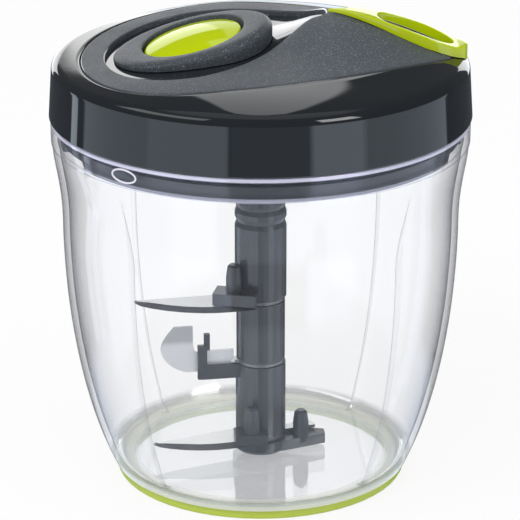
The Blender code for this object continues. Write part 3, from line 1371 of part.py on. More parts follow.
def build_lower_blade(look):
    """Lower blade: a long wing to one side and a tail over the base hub's arm."""
    bottom = lower_blade_z()
    blade = curved_wing("lower_blade", LOWER_WING_LENGTH, LOWER_WING_ANGLE, LOWER_WING_BACK,
                        LOWER_WING_FRONT, bottom, look)
    combine(blade, blade_eye_guide("lower_eye_guide", bottom, look), "UNION")
    tail = swept_arm("lower_tail_guide", TAIL_REACH, TAIL_HALF_WIDTH, TAIL_HALF_WIDTH, TAIL_ANGLE,
                     bottom, bottom + BLADE_THICKNESS, look)
    combine(blade, tail, "UNION")
    combine(blade, blade_bore_guide("lower_bore_guide", bottom, look), "DIFFERENCE")
    return blade


def build_middle_blade(look):
    """Middle blade: an eye on the core and an upright strip that ends in a rounded leaf."""
    bottom = middle_blade_z()
    blade = blade_eye_guide("middle_blade", bottom, look)
    blade.hide_render = False
    tab = swept_arm("middle_tab_guide", LEAF_ROOT + BLADE_THICKNESS, MID_ARM_HALF_WIDTH,
                    BLADE_THICKNESS, LEAF_ANGLE, bottom, bottom + BLADE_THICKNESS, look)
    combine(blade, tab, "UNION")
    combine(blade, leaf_guide(look), "UNION")
    combine(blade, blade_bore_guide("middle_bore_guide", bottom, look), "DIFFERENCE")
    return blade


def leaf_side():
    """Side outline of the upright strip and its leaf, as (distance out, height)."""
    rise = LEAF_TOP_Z - LEAF_LOW_Z
    reach = LEAF_TIP - LEAF_BELLY
    belly = bezier(((LEAF_BELLY, LEAF_LOW_Z), (LEAF_BELLY + reach * 0.6, LEAF_LOW_Z + rise * 0.08),
                    (LEAF_TIP + reach * 0.15, LEAF_LOW_Z + rise * 0.42),
                    (LEAF_TIP - reach * 0.2, LEAF_LOW_Z + rise * 0.72)), 8)
    crest = bezier((belly[-1], (LEAF_TIP - reach * 0.35, LEAF_LOW_Z + rise * 0.88),
                    (LEAF_CREST, LEAF_TOP_Z - rise * 0.04), (LEAF_CREST, LEAF_TOP_Z)), 3)
    neck = bezier(((LEAF_NECK + FORK_STEP, LEAF_TOP_Z), (LEAF_NECK + FORK_STEP, LEAF_STRIP_TOP_Z),
                   (LEAF_NECK + FORK_STEP, LEAF_STRIP_TOP_Z), (LEAF_NECK, LEAF_STRIP_TOP_Z)), 3)
    return [(LEAF_ROOT, LEAF_LOW_Z)] + belly + crest[1:] + neck + [(LEAF_ROOT, LEAF_STRIP_TOP_Z)]


def leaf_guide(look):
    """Upright strip and leaf of the middle blade."""
    half = BLADE_THICKNESS / 2
    mesh = bmesh.new()
    face = mesh.faces.new([mesh.verts.new((along, -half, height)) for along, height in leaf_side()])
    lifted = bmesh.ops.extrude_face_region(mesh, geom=[face])
    moved = [item for item in lifted["geom"] if isinstance(item, bmesh.types.BMVert)]
    bmesh.ops.translate(mesh, verts=moved, vec=(0.0, 2 * half, 0.0))
    bmesh.ops.rotate(mesh, verts=mesh.verts, cent=(0.0, 0.0, 0.0),
                     matrix=Matrix.Rotation(LEAF_ANGLE, 3, "Z"))
    return finish_object("leaf_guide", mesh, look)


def build_core(look):
    """Core rod that the segments and blades thread on."""
    bore = PIVOT_RADIUS + RUNNING_GAP
    pin_top = floor_top_z() - PIVOT_SINK + GAP + PIVOT_HEIGHT
    bottom = BLADE_STACK_BOTTOM_Z + BASE_HUB_HEIGHT / 4
    roof = pin_top + RUNNING_GAP
    profile = [(bore, bottom), (CORE_RADIUS, bottom), (CORE_RADIUS, CORE_TOP_Z), (0.0, CORE_TOP_Z),
               (0.0, roof), (bore, roof)]
    return revolve("core_rod", profile, look, steps=28)


def build_base_hub(look):
    """Base hub with the right arm and its peg."""
    bottom = BLADE_STACK_BOTTOM_Z
    top = bottom + BASE_HUB_HEIGHT
    bore = CORE_RADIUS + GAP
    pin = PIVOT_RADIUS + RUNNING_GAP
    ledge = bottom + BASE_HUB_HEIGHT / 4 - GAP
    soft = BASE_HUB_RADIUS / 8
    profile = [(pin, bottom), (BASE_HUB_RADIUS - soft, bottom), (BASE_HUB_RADIUS, bottom + soft),
               (BASE_HUB_RADIUS, top), (bore, top), (bore, ledge), (pin, ledge)]
    hub = revolve("base_hub", profile, look, steps=36)
    arm = swept_arm("right_arm_guide", RIGHT_ARM_REACH, RIGHT_ARM_ROOT, RIGHT_ARM_TIP, RIGHT_ARM_ANGLE,
                    bottom + soft / 2, top - STEP_BACK, look)
    combine(hub, arm, "UNION")
    peg = peg_guide("right_peg_guide", RIGHT_PEG_ORBIT * math.cos(RIGHT_PEG_ANGLE),
                    RIGHT_PEG_ORBIT * math.sin(RIGHT_PEG_ANGLE), top, look)
    combine(hub, peg, "UNION")
    return hub


def build_lower_segment(look):
    """Lower segment: tube, front ear with its peg, and the middle arm with a fork."""
    bottom = lower_blade_z() + BLADE_THICKNESS + GAP
    top = middle_blade_z() - GAP
    tube_piece = sleeve("lower_segment", LOWER_TUBE_RADIUS, bottom, top, look)
    add_peg_plate(tube_piece, "front", FRONT_PLATE_ANGLE, FRONT_PLATE_REACH, FRONT_PEG_PLACE,
                  bottom, bottom + FRONT_PLATE_HEIGHT, look)
    arm = swept_arm("middle_arm_guide", FORK_REACH + FORK_JAW_WIDTH, MID_ARM_HALF_WIDTH,
                    MID_ARM_HALF_WIDTH, LEAF_ANGLE, top - MID_ARM_THICKNESS, top - STEP_BACK, look)
    combine(tube_piece, arm, "UNION")
    inner = BLADE_THICKNESS / 2 + GAP
    outer = inner + FORK_JAW
    front = turned_box("front_jaw_guide", FORK_REACH + FORK_STEP, FORK_REACH + FORK_STEP + FORK_JAW_WIDTH,
                       inner, outer, LEAF_ANGLE, top - MID_ARM_THICKNESS, FORK_FRONT_TOP_Z, look)
    back = turned_box("back_jaw_guide", FORK_REACH, FORK_REACH + FORK_JAW_WIDTH * 0.6,
                      -outer, -inner, LEAF_ANGLE, top - MID_ARM_THICKNESS, FORK_BACK_TOP_Z, look)
    combine(tube_piece, front, "UNION")
    combine(tube_piece, back, "UNION")
    combine(tube_piece, leaf_slot_guide(top, look), "DIFFERENCE")
    return tube_piece


def add_peg_plate(target, label, angle, reach, peg_place, bottom, top, look):
    """Weld a plate and its round peg on a segment."""
    plate = turned_box(label + "_plate_guide", PLATE_NEAR, reach, PLATE_SIDE_LOW, PLATE_SIDE_HIGH, angle,
                       bottom + STEP_BACK, top, look)
    combine(target, plate, "UNION")
    along, side = peg_place
    peg = peg_guide(label + "_peg_guide", along * math.cos(angle) - side * math.sin(angle),
                    along * math.sin(angle) + side * math.cos(angle), top, look)
    combine(target, peg, "UNION")


def turned_box(name, near, far, side_low, side_high, angle, bottom, top, look):
    """Box laid along an arm's direction."""
    plan = [(near, side_low), (far, side_low), (far, side_high), (near, side_high)]
    return turned_plate(name, plan, angle, bottom, top, look)


def leaf_slot_guide(top, look):
    """Cutter for the slot that the leaf stands in."""
    half = BLADE_THICKNESS / 2 + GAP
    return turned_box("leaf_slot_guide", LEAF_ROOT - GAP, FORK_REACH + FORK_JAW_WIDTH + CUT_OVERRUN,
                      -half, half, LEAF_ANGLE, LEAF_LOW_Z - GAP, top + CUT_OVERRUN, look)


def build_middle_segment(look):
    """Middle segment between the middle and upper blades."""
    return sleeve("middle_segment", MIDDLE_TUBE_RADIUS, MIDDLE_SEAM_Z, upper_blade_z() - GAP, look)


def build_upper_segment(look):
    """Upper segment: long tube, upper arm with its peg, and the spindle's socket."""
    bottom = UPPER_SEAM_Z
    tube_piece = sleeve("upper_segment", UPPER_TUBE_RADIUS, bottom, CORE_TOP_Z + GAP, look,
                        waist=(NECK_GROOVE_LOW_Z, NECK_GROOVE_HIGH_Z))
    head = extrude_outline("socket_head_guide", arc(0.0, 0.0, UPPER_TUBE_RADIUS, 0.0, FULL_TURN, 30)[:-1],
                           CORE_TOP_Z + GAP - STEP_BACK, STACK_TOP_Z, look)
    combine(tube_piece, head, "UNION")
    socket = extrude_outline("socket_guide", hexagon(SPINDLE_ACROSS_FLATS + 2 * RUNNING_GAP),
                             CORE_TOP_Z + GAP + BLADE_THICKNESS, STACK_TOP_Z + CUT_OVERRUN, look)
    combine(tube_piece, socket, "DIFFERENCE")
    add_peg_plate(tube_piece, "upper", UPPER_PLATE_ANGLE, UPPER_PLATE_REACH, UPPER_PEG_PLACE,
                  bottom, bottom + ARM_THICKNESS, look)
    return tube_piece


def add_pivots(groups):
    """Parent each moving group to an empty on its joint's axis."""
    for name, place, pieces in groups:
        empty = bpy.data.objects.new(name, None)
        empty.location = place
        bpy.context.scene.collection.objects.link(empty)
        for piece in pieces:
            piece.parent = empty
            piece.matrix_parent_inverse = Matrix.Translation(place).inverted()


def main():
    """Build every piece of the chopper."""
    clear_scene()
    clear = material("clear_plastic", (0.86, 0.88, 0.90), 0.05, alpha=0.35)
    gloss = material("gloss_black", (0.030, 0.034, 0.040), 0.12)
    satin = material("satin_grey", (0.075, 0.085, 0.095), 0.55)
    lime = material("lime", (0.42, 0.54, 0.02), 0.25)
    pale = material("foot_green", (0.46, 0.55, 0.07), 0.40)
    shaft = material("shaft_grey", (0.10, 0.11, 0.12), 0.40)
    steel = material("steel", (0.62, 0.62, 0.63), 0.22, metallic=1.0)
    cord_look = material("cord_white", (0.78, 0.78, 0.74), 0.80)
    rubber = material("seal_rubber", (0.30, 0.30, 0.31), 0.70)

    build_foot(pale)
    build_bowl(clear)
    build_pivot(steel)

    lid = [build_shell(gloss), build_cover(satin), build_hub(satin), build_well(lime),
           build_eyelet(steel), build_base_plate(shaft), build_bush(cord_look), build_seal(rubber),
           build_arbor(steel), build_spring_cup(shaft), build_recoil_spring(steel),
           build_button_spring(steel)]
    lid += build_posts(gloss) + build_screws(steel)
    route = smooth_route(cord_route(), 5)
    lid.append(tube("pull_cord", route, CORD_RADIUS, cord_look, resolution=1))
    winding = winding_points()
    print("least gap in the winding, mm:", round(least_gap(winding, CORD_RADIUS, 18) * 1000, 3))
    reel = [build_reel(lime), tube("cord_winding", winding, CORD_RADIUS, cord_look)]
    handle = [build_handle(lime), build_knot(steel)]
    button = [build_button(lime)]
    blades = [build_core(shaft), build_base_hub(shaft), build_lower_segment(shaft),
              build_middle_segment(shaft), build_upper_segment(shaft), build_upper_blade(steel),
              build_middle_blade(steel), build_lower_blade(steel)]
    add_pivots([("lid_pivot", Vector((0.0, 0.0, LID_BOTTOM_Z)), lid),
                ("reel_pivot", Vector((0.0, 0.0, REEL_BOTTOM_Z)), reel),
                ("handle_pivot", Vector((stem_left_x(), 0.0, CORD_EXIT_Z)), handle),
                ("button_pivot", Vector((HUB_X, 0.0, BUTTON_UNDERSIDE_Z)), button),
                ("blade_pivot", Vector((0.0, 0.0, BLADE_STACK_BOTTOM_Z)), blades)])


main()
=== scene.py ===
"""Looks of the pull cord food chopper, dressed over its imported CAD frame.

Metres, +Z up, origin on the bowl's axis at the underside of its foot. The handle is pulled
along +X, and the camera stands in front of the chopper, towards -Y, and above it.
"""

import json
import logging
import math
from dataclasses import dataclass
from enum import Enum
from typing import Any, Callable, Iterable, Sequence

import bmesh
import bpy
from mathutils import Matrix, Vector

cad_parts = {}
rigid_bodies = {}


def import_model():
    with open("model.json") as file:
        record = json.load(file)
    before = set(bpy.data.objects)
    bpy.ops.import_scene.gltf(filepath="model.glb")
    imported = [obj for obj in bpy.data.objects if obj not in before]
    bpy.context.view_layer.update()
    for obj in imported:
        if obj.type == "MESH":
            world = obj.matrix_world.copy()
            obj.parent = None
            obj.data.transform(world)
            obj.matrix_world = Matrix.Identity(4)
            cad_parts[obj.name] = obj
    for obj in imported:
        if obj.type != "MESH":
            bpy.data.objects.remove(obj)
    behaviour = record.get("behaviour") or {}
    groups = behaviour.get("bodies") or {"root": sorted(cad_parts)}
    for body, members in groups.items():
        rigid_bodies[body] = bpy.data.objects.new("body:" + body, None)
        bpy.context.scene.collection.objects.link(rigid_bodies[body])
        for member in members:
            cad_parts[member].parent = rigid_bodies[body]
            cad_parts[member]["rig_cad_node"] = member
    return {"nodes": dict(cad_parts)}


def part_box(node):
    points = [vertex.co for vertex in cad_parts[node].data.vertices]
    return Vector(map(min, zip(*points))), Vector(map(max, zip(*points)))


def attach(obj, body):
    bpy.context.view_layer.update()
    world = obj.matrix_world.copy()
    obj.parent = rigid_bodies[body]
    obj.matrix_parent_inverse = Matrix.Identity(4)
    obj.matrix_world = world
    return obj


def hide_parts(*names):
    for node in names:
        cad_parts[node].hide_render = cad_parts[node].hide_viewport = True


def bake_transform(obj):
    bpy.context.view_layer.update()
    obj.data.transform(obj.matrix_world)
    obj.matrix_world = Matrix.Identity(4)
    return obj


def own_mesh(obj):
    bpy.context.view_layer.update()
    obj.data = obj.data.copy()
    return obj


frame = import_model()

FULL_TURN = 2.0 * math.pi
QUARTER = math.pi / 2.0
IN_DEGREES = 180.0 / math.pi
WELD = 0.000001
SHARP_DEGREES = 38.0
BEVEL_DEGREES = 40.0
# Heights over which the leaf's painted reflection turns it grey towards the top.
LEAF_REFLECTION_Z = (0.0420, 0.0445)
WHITE = (1.0, 1.0, 1.0, 1.0)

Point = tuple[float, float]
Colour = tuple[float, float, float]
Height = Callable[[float, float], float]
Inside = Callable[[float, float], bool]

log = logging.getLogger("chopper")


# Mesh tools

def finish_mesh(name: str, mesh: bmesh.types.BMesh,
                sharp_degrees: float = SHARP_DEGREES) -> bpy.types.Object:
    """Turn a bmesh into a smooth shaded object in the scene.

    Args:
        name: Name of the new object.
        mesh: Mesh to use up.
        sharp_degrees: Edges that bend by more than this stay sharp.

    Returns:
        The new object, linked to the scene's collection.
    """
    bmesh.ops.remove_doubles(mesh, verts=mesh.verts, dist=WELD)
    bmesh.ops.recalc_face_normals(mesh, faces=mesh.faces)
    data = bpy.data.meshes.new(name)
    mesh.to_mesh(data)
    mesh.free()
    data.shade_smooth()
    data.set_sharp_from_angle(angle=math.radians(sharp_degrees))
    made = bpy.data.objects.new(name, data)
    bpy.context.scene.collection.objects.link(made)
    return made


def lace(rings: Sequence[Sequence[Vector]], closed: bool, capped: bool) -> bmesh.types.BMesh:
    """Join equal rings of points side by side with faces.

    Args:
        rings: Rings with the same number of points.
        closed: True to join the last ring to the first.
        capped: True to cap the first ring and the last.

    Returns:
        A new mesh.
    """
    mesh = bmesh.new()
    rows = [[mesh.verts.new(point) for point in ring] for ring in rings]
    if capped:
        mesh.faces.new(rows[0])
        mesh.faces.new(rows[-1])
    for low, high in zip(rows, rows[1:] + (rows[:1] if closed else [])):
        for index, vert in enumerate(low):
            after = (index + 1) % len(low)
            mesh.faces.new((vert, low[after], high[after], high[index]))
    return mesh


def skin(name: str, rings: Sequence[Sequence[Vector]], closed: bool = False) -> bpy.types.Object:
    """Return a surface through rings, which closes on itself or else is capped at both ends."""
    return finish_mesh(name, lace(rings, closed, capped=not closed))


def fused(name: str, rings: Sequence[Sequence[Vector]], closed: bool = True,
          sharp_degrees: float = SHARP_DEGREES) -> bpy.types.Object:
    """Return a surface through rings, some of which may shrink to one point.

    Args:
        name: Name of the new object.
        rings: Rings with the same number of points.
        closed: True to join the last ring to the first.
        sharp_degrees: Edges that bend by more than this stay sharp.

    Returns:
        The new object.
    """
    mesh = lace(rings, closed, capped=False)
    bmesh.ops.remove_doubles(mesh, verts=mesh.verts, dist=WELD)
    bmesh.ops.dissolve_degenerate(mesh, edges=mesh.edges, dist=WELD)
    return finish_mesh(name, mesh, sharp_degrees)


def polar(radius: float, angle: float, height: float, centre_x: float = 0.0) -> Vector:
    """Return the point at a distance and an angle from an upright line."""
    return Vector((centre_x + radius * math.cos(angle), radius * math.sin(angle), height))


def revolve(name: str, profile: Sequence[Point], steps: int = 96) -> bpy.types.Object:
    """Spin a closed outline of (radius, height) points about Z.

    Args:
        name: Name of the new object.
        profile: Points of the outline, in order.
        steps: Number of steps in a full turn.

    Returns:
        The new object.
    """
    turns = [FULL_TURN * step / steps for step in range(steps)]
    rings = [[polar(radius, turn, height) for turn in turns] for radius, height in profile]
    return fused(name, rings, closed=profile[0][0] > WELD and profile[-1][0] > WELD)


def rounded(corners: Sequence[tuple[float, float, float]], steps: int = 4) -> list[Point]:
    """Round the corners of an open line with arcs.

    Args:
        corners: Corners as (a, b, radius); a radius of zero keeps a corner sharp.
        steps: Steps in each arc.

    Returns:
        The points of the rounded line.
    """
    made = [corners[0][:2]]
    for before, corner, after in zip(corners, corners[1:], corners[2:]):
        middle = Vector(corner[:2])
        first = (Vector(before[:2]) - middle).normalized()
        second = (Vector(after[:2]) - middle).normalized()
        half = first.angle(second, math.pi) / 2
        if corner[2] <= 0.0 or half > QUARTER - WELD:
            made.append(corner[:2])
            continue
        reach = corner[2] / math.tan(half)
        centre = middle + (first + second).normalized() * (corner[2] / math.sin(half))
        start = middle + first * reach - centre
        end = middle + second * reach - centre
        turn = start.angle_signed(end)
        for step in range(steps + 1):
            spoke = start.copy()
            spoke.rotate(Matrix.Rotation(-turn * step / steps, 2))
            made.append(tuple(centre + spoke))
    made.append(corners[-1][:2])
    return made


def raised(ring: Iterable[Point], height_at: Height) -> list[Vector]:
    """Give a plan ring its heights."""
    return [Vector((x, y, height_at(x, y))) for x, y in ring]


def between(first: Sequence[Point], second: Sequence[Point], share: float) -> list[Point]:
    """Blend two plan rings point by point."""
    return [(a[0] + (b[0] - a[0]) * share, a[1] + (b[1] - a[1]) * share)
            for a, b in zip(first, second)]


def spread(first: Sequence[Point], second: Sequence[Point], height_at: Height, steps: int,
           last: bool = False) -> list[list[Vector]]:
    """Return evenly spaced rings between two plan rings, with the second one where last is true."""
    return [raised(between(first, second, step / steps), height_at) for step in range(1, steps + last)]


def offset(ring: Sequence[Point], distance: float) -> list[Point]:
    """Move a plan ring that runs anticlockwise outwards along its own normals."""
    made = []
    for index, (x, y) in enumerate(ring):
        back = ring[index - 1]
        ahead = ring[(index + 1) % len(ring)]
        along = Vector((ahead[0] - back[0], ahead[1] - back[1])).normalized()
        made.append((x + along.y * distance, y - along.x * distance))
    return made


def lowered(height_at: Height, drop: float) -> Height:
    """Return a height that lies below another by a fixed drop."""
    return lambda x, y: height_at(x, y) - drop


def level(height: float) -> Height:
    """Return a height that is the same everywhere."""
    return lambda x, y: height


@dataclass(frozen=True)
class Fan:
    """Rays from one plan point, which measure how far a plan shape reaches.

    Attributes:
        centre_x: Place of the rays' start along X.
        half_steps: Rays in half a turn.
        crowd: Power that crowds the rays towards +X; 1 spreads them evenly.
        reach: Furthest distance that is looked at.
    """
    centre_x: float
    half_steps: int = 110
    crowd: float = 1.0
    reach: float = 0.15

    def angles(self) -> list[float]:
        """Return the angles of the rays, anticlockwise from +X."""
        side = [math.pi * (step / self.half_steps) ** self.crowd
                for step in range(self.half_steps + 1)]
        return side + [FULL_TURN - angle for angle in reversed(side[1:-1])]

    def ring(self, inside: Inside) -> list[Point]:
        """Return the plan points where the rays leave a shape.

        Args:
            inside: Test that tells whether a plan point lies in the shape.

        Returns:
            One point for each ray.
        """
        made = []
        for angle in self.angles():
            low, high = 0.0, self.reach
            for _ in range(32):
                middle = (low + high) / 2
                if inside(self.centre_x + middle * math.cos(angle), middle * math.sin(angle)):
                    low = middle
                else:
                    high = middle
            made.append((self.centre_x + low * math.cos(angle), low * math.sin(angle)))
        return made

    def ellipse(self, radius: float, stretch: float = 1.0) -> list[Point]:
        """Return an oval ring about the rays' start, stretched along Y."""
        return self.ring(lambda x, y: math.hypot(x - self.centre_x, y / stretch) < radius)


def edge_rings(ring: Sequence[Point], height_at: Height, radius: float, outwards: float,
               steps: int = 4, falling: bool = False) -> list[list[Vector]]:
    """Rings round an upper edge, from its upright side over to its top or back.

    Args:
        ring: Plan ring of the upright side.
        height_at: Height of the top.
        radius: Radius of the rounding.
        outwards: 1.0 where the top lies outside the ring, -1.0 where it lies inside.
        steps: Steps in the rounding.
        falling: True to go from the top down to the side.

    Returns:
        The rings in order.
    """
    made = []
    for step in range(steps + 1):
        angle = QUARTER * step / steps
        plan = offset(ring, outwards * radius * (1.0 - math.cos(angle)))
        made.append(raised(plan, lowered(height_at, radius * (1.0 - math.sin(angle)))))
    return made[::-1] if falling else made


def cut(target: bpy.types.Object, cutter: bpy.types.Object) -> None:
    """Cut one object out of another and throw the cutter away."""
    step = target.modifiers.new("Cut", "BOOLEAN")
    step.operation = "DIFFERENCE"
    step.solver = "EXACT"
    step.object = cutter
    bpy.context.view_layer.update()
    graph = bpy.context.evaluated_depsgraph_get()
    made = bpy.data.meshes.new_from_object(target.evaluated_get(graph))
    target.modifiers.clear()
    target.data = made
    made.set_sharp_from_angle(angle=math.radians(SHARP_DEGREES))
    bpy.data.objects.remove(cutter, do_unlink=True)


# Shader tools

class Value:
    """A number that a node gives, with its sums written as operators."""

    def __init__(self, graph: "Graph", socket: bpy.types.NodeSocket) -> None:
        """Wrap a socket of a graph."""
        self.graph = graph
        self.socket = socket

    def maths(self, operation: str, *others: "Value | float") -> "Value":
        """Return a Math node's answer for this value and others."""
        inputs = dict(enumerate((self, *others)))
        return self.graph.node("ShaderNodeMath", {"operation": operation}, inputs)

    def __add__(self, other: "Value | float") -> "Value":
        """Return the sum."""
        return self.maths("ADD", other)

    def __sub__(self, other: "Value | float") -> "Value":
        """Return the difference."""
        return self.maths("SUBTRACT", other)

    def __mul__(self, other: "Value | float") -> "Value":
        """Return the product."""
        return self.maths("MULTIPLY", other)

    def __rsub__(self, other: float) -> "Value":
        """Return a number less this value."""
        return (self * -1.0) + other

    @staticmethod
    def total(values: "Iterable[Value]") -> "Value":
        """Return the sum of some values."""
        first, *rest = values
        for value in rest:
            first = first + value
        return first

    def power(self, other: float) -> "Value":
        """Return this value raised to a power."""
        return self.maths("POWER", other)

    def rise(self, start: float, end: float, low: float = 0.0, high: float = 1.0) -> "Value":
        """Return low before start, high after end, and a smooth change between them."""
        settings = {"interpolation_type": "SMOOTHSTEP"}
        inputs = {"Value": self, "From Min": start, "From Max": end, "To Min": low, "To Max": high}
        return self.graph.node("ShaderNodeMapRange", settings, inputs)

    def fall(self, start: float, end: float) -> "Value":
        """Return 1 before start, 0 after end, and a smooth change between them."""
        return self.rise(start, end, 1.0, 0.0)


class Graph:
    """A node tree that is built from calls."""

    def __init__(self, owner: bpy.types.Material | bpy.types.World) -> None:
        """Empty the tree of a material or world."""
        owner.use_nodes = True
        self.tree = owner.node_tree
        self.tree.nodes.clear()

    def node(self, kind: str, settings: dict[str, Any] | None = None,
             inputs: dict[str | int, Any] | None = None, output: str | int = 0) -> Value:
        """Add a node, set it up and link it.

        Args:
            kind: Type name of the node.
            settings: Properties to set first.
            inputs: Value or link for each named or numbered input.
            output: Name or number of the output to return.

        Returns:
            The chosen output.
        """
        made = self.tree.nodes.new(kind)
        for name, setting in (settings or {}).items():
            setattr(made, name, setting)
        for name, given in (inputs or {}).items():
            if isinstance(given, Value):
                self.tree.links.new(given.socket, made.inputs[name])
            else:
                made.inputs[name].default_value = given
        socket = made.outputs[output] if len(made.outputs) else None
        return Value(self, socket)

    def place(self, output: str = "Object") -> Value:
        """Return the place of the shaded point."""
        return self.node("ShaderNodeTexCoord", output=output)

    def noise(self, size: float, detail: float = 2.0, place: Value | None = None) -> Value:
        """Return soft noise from 0 to 1 whose lumps have a size in metres."""
        inputs = {"Vector": place or self.place(), "Scale": 1.0 / size, "Detail": detail}
        return self.node("ShaderNodeTexNoise", inputs=inputs)

    def mix(self, share: Value | float, first: Any, second: Any) -> Value:
        """Return a blend of two colours."""
        return self.node("ShaderNodeMix", {"data_type": "RGBA"},
                         {"Factor": share, 6: first, 7: second}, output=2)

    def bump(self, height: Value, distance: float) -> Value:
        """Return a normal that is bent by a height from 0 to 1 times a distance."""
        inputs = {"Height": height, "Distance": distance, "Strength": 1.0}
        return self.node("ShaderNodeBump", inputs=inputs)

    def axes(self, place: Value) -> tuple[Value, Value, Value]:
        """Split a vector into its three numbers."""
        node = self.node("ShaderNodeSeparateXYZ", inputs={0: place}).socket.node
        return tuple(Value(self, socket) for socket in node.outputs)

    def from_axis(self) -> Value:
        """Return how far the shaded point lies from the chopper's axis."""
        x, y, _ = self.axes(self.place())
        return (x * x + y * y).power(0.5)

    def finish(self, inputs: dict[str, Any]) -> None:
        """End a material with a Principled shader."""
        shader = self.node("ShaderNodeBsdfPrincipled", inputs=inputs)
        self.node("ShaderNodeOutputMaterial", inputs={"Surface": shader})


def rgba(colour: Colour) -> tuple[float, float, float, float]:
    """Return a colour with full alpha."""
    return (*colour, 1.0)


def shade(colour: Colour, share: float) -> tuple[float, float, float, float]:
    """Return a colour made lighter or darker by a share."""
    return rgba(tuple(min(1.0, part * share) for part in colour))


class Surface(Enum):
    """How the mould finished a surface."""
    GLOSS = "gloss"
    SATIN = "satin"
    SPARK = "spark"


@dataclass(frozen=True)
class Finish:
    """Finish of a piece.

    Attributes:
        name: Name of the material.
        slot: Slot of the record that it belongs to.
        colour: Linear colour.
    """
    name: str
    slot: str
    colour: Colour

    def build(self) -> bpy.types.Material:
        """Return the material, a Principled shader with this finish's inputs."""
        made = bpy.data.materials.new(self.name)
        graph = Graph(made)
        graph.finish(self.inputs(graph))
        return made

    def inputs(self, graph: Graph) -> dict[str, Any]:
        """Return what the shader's sockets get."""
        raise NotImplementedError


@dataclass(frozen=True)
class Plastic(Finish):
    """Opaque moulded plastic.

    Attributes:
        roughness: Roughness at its middle.
        surface: How its mould was finished.
        vary: Share by which its colour drifts.
        specular: Strength of its clear reflection, where 0.5 is plain plastic.
    """
    roughness: float
    surface: Surface
    vary: float = 0.04
    specular: float = 0.5

    drift_size = 0.012
    grain_sizes = {Surface.GLOSS: 0.0040, Surface.SATIN: 0.0007, Surface.SPARK: 0.00045}
    grain_heights = {Surface.GLOSS: 0.0000015, Surface.SATIN: 0.000012, Surface.SPARK: 0.000070}
    speck_range = (0.56, 0.72)
    speck_share, speck_light = 0.8, 3.4
    rough_drift, rough_grain, rough_even = 0.4, 0.2, 0.7

    def inputs(self, graph: Graph) -> dict[str, Any]:
        """Return drifting colour, uneven gloss and the mould's grain."""
        size = self.grain_sizes[self.surface]
        drift = graph.noise(self.drift_size, 3.0)
        grain = graph.noise(size, 3.0)
        colour = graph.mix(drift, shade(self.colour, 1.0 - self.vary), shade(self.colour, 1.0 + self.vary))
        if self.surface is Surface.SPARK:
            speck = graph.noise(size, 1.0).rise(*self.speck_range)
            colour = graph.mix(speck * self.speck_share, colour, shade(self.colour, self.speck_light))
        rough = drift * (self.roughness * self.rough_drift) + grain * (self.roughness * self.rough_grain)
        return {"Base Color": colour, "Roughness": rough + self.roughness * self.rough_even,
                "Specular IOR Level": self.specular,
                "Normal": graph.bump(grain, self.grain_heights[self.surface])}


@dataclass(frozen=True)
class Steel(Finish):
    """Stainless steel with fine polishing strokes and soft clouding.

    Attributes:
        roughness: Roughness at its middle.
        metallic: Share of the light that it gives back as bare metal.
        stroke: Size of a polishing stroke across its length.
        scratch: Depth of a polishing stroke.
        rim: Lightness of the ground and upright faces, as a share of the rest, a painted shade on faces that
            turn away from the top.
        painted_shade_reach: Distance from the axis up to which those faces get the painted shade.
        painted_reflection_z: Heights between which the steel turns from light to grey, a painted reflection
            of the dark skirt above, or None.
    """
    roughness: float
    metallic: float = 1.0
    stroke: float = 0.0003
    scratch: float = 0.000004
    rim: float = 1.0
    painted_shade_reach: float = 1.0
    painted_reflection_z: tuple[float, float] | None = None

    stroke_stretch = (0.08, 1.0, 1.0)
    cloud_size = 0.009
    cloud_low, cloud_high = 0.94, 1.04
    flat_range = (0.955, 0.985)
    painted_shade_soft = 0.0003
    painted_reflection_grey = 0.62
    rough_stroke, rough_cloud = 0.03, 0.05

    def inputs(self, graph: Graph) -> dict[str, Any]:
        """Return clouded colour, with painted shade on the ground and upright faces and a painted reflection
        that turns the upper end grey, where they are asked for.
        """
        stretched = graph.node("ShaderNodeMapping",
                               inputs={"Vector": graph.place(), "Scale": self.stroke_stretch})
        stroke = graph.noise(self.stroke, 2.0, stretched)
        cloud = graph.noise(self.cloud_size, 3.0)
        colour = graph.mix(cloud, shade(self.colour, self.cloud_low), shade(self.colour, self.cloud_high))
        # Painted shade: ground and upright faces are darkened, near the axis where a reach is given.
        if self.rim < 1.0:
            _, _, facing = graph.axes(graph.place("Normal"))
            ground = facing.maths("ABSOLUTE").fall(*self.flat_range)
            near = graph.from_axis().fall(self.painted_shade_reach, self.painted_shade_reach + self.painted_shade_soft)
            colour = graph.mix(ground * near, colour, shade(self.colour, self.rim))
        # Painted reflection: the steel turns grey above the given heights.
        if self.painted_reflection_z is not None:
            _, _, up = graph.axes(graph.place())
            colour = graph.mix(up.rise(*self.painted_reflection_z), colour, shade(self.colour, self.painted_reflection_grey))
        even = self.roughness - (self.rough_stroke + self.rough_cloud) / 2
        return {"Base Color": colour, "Metallic": self.metallic,
                "Roughness": stroke * self.rough_stroke + cloud * self.rough_cloud + even,
                "Normal": graph.bump(stroke, self.scratch)}


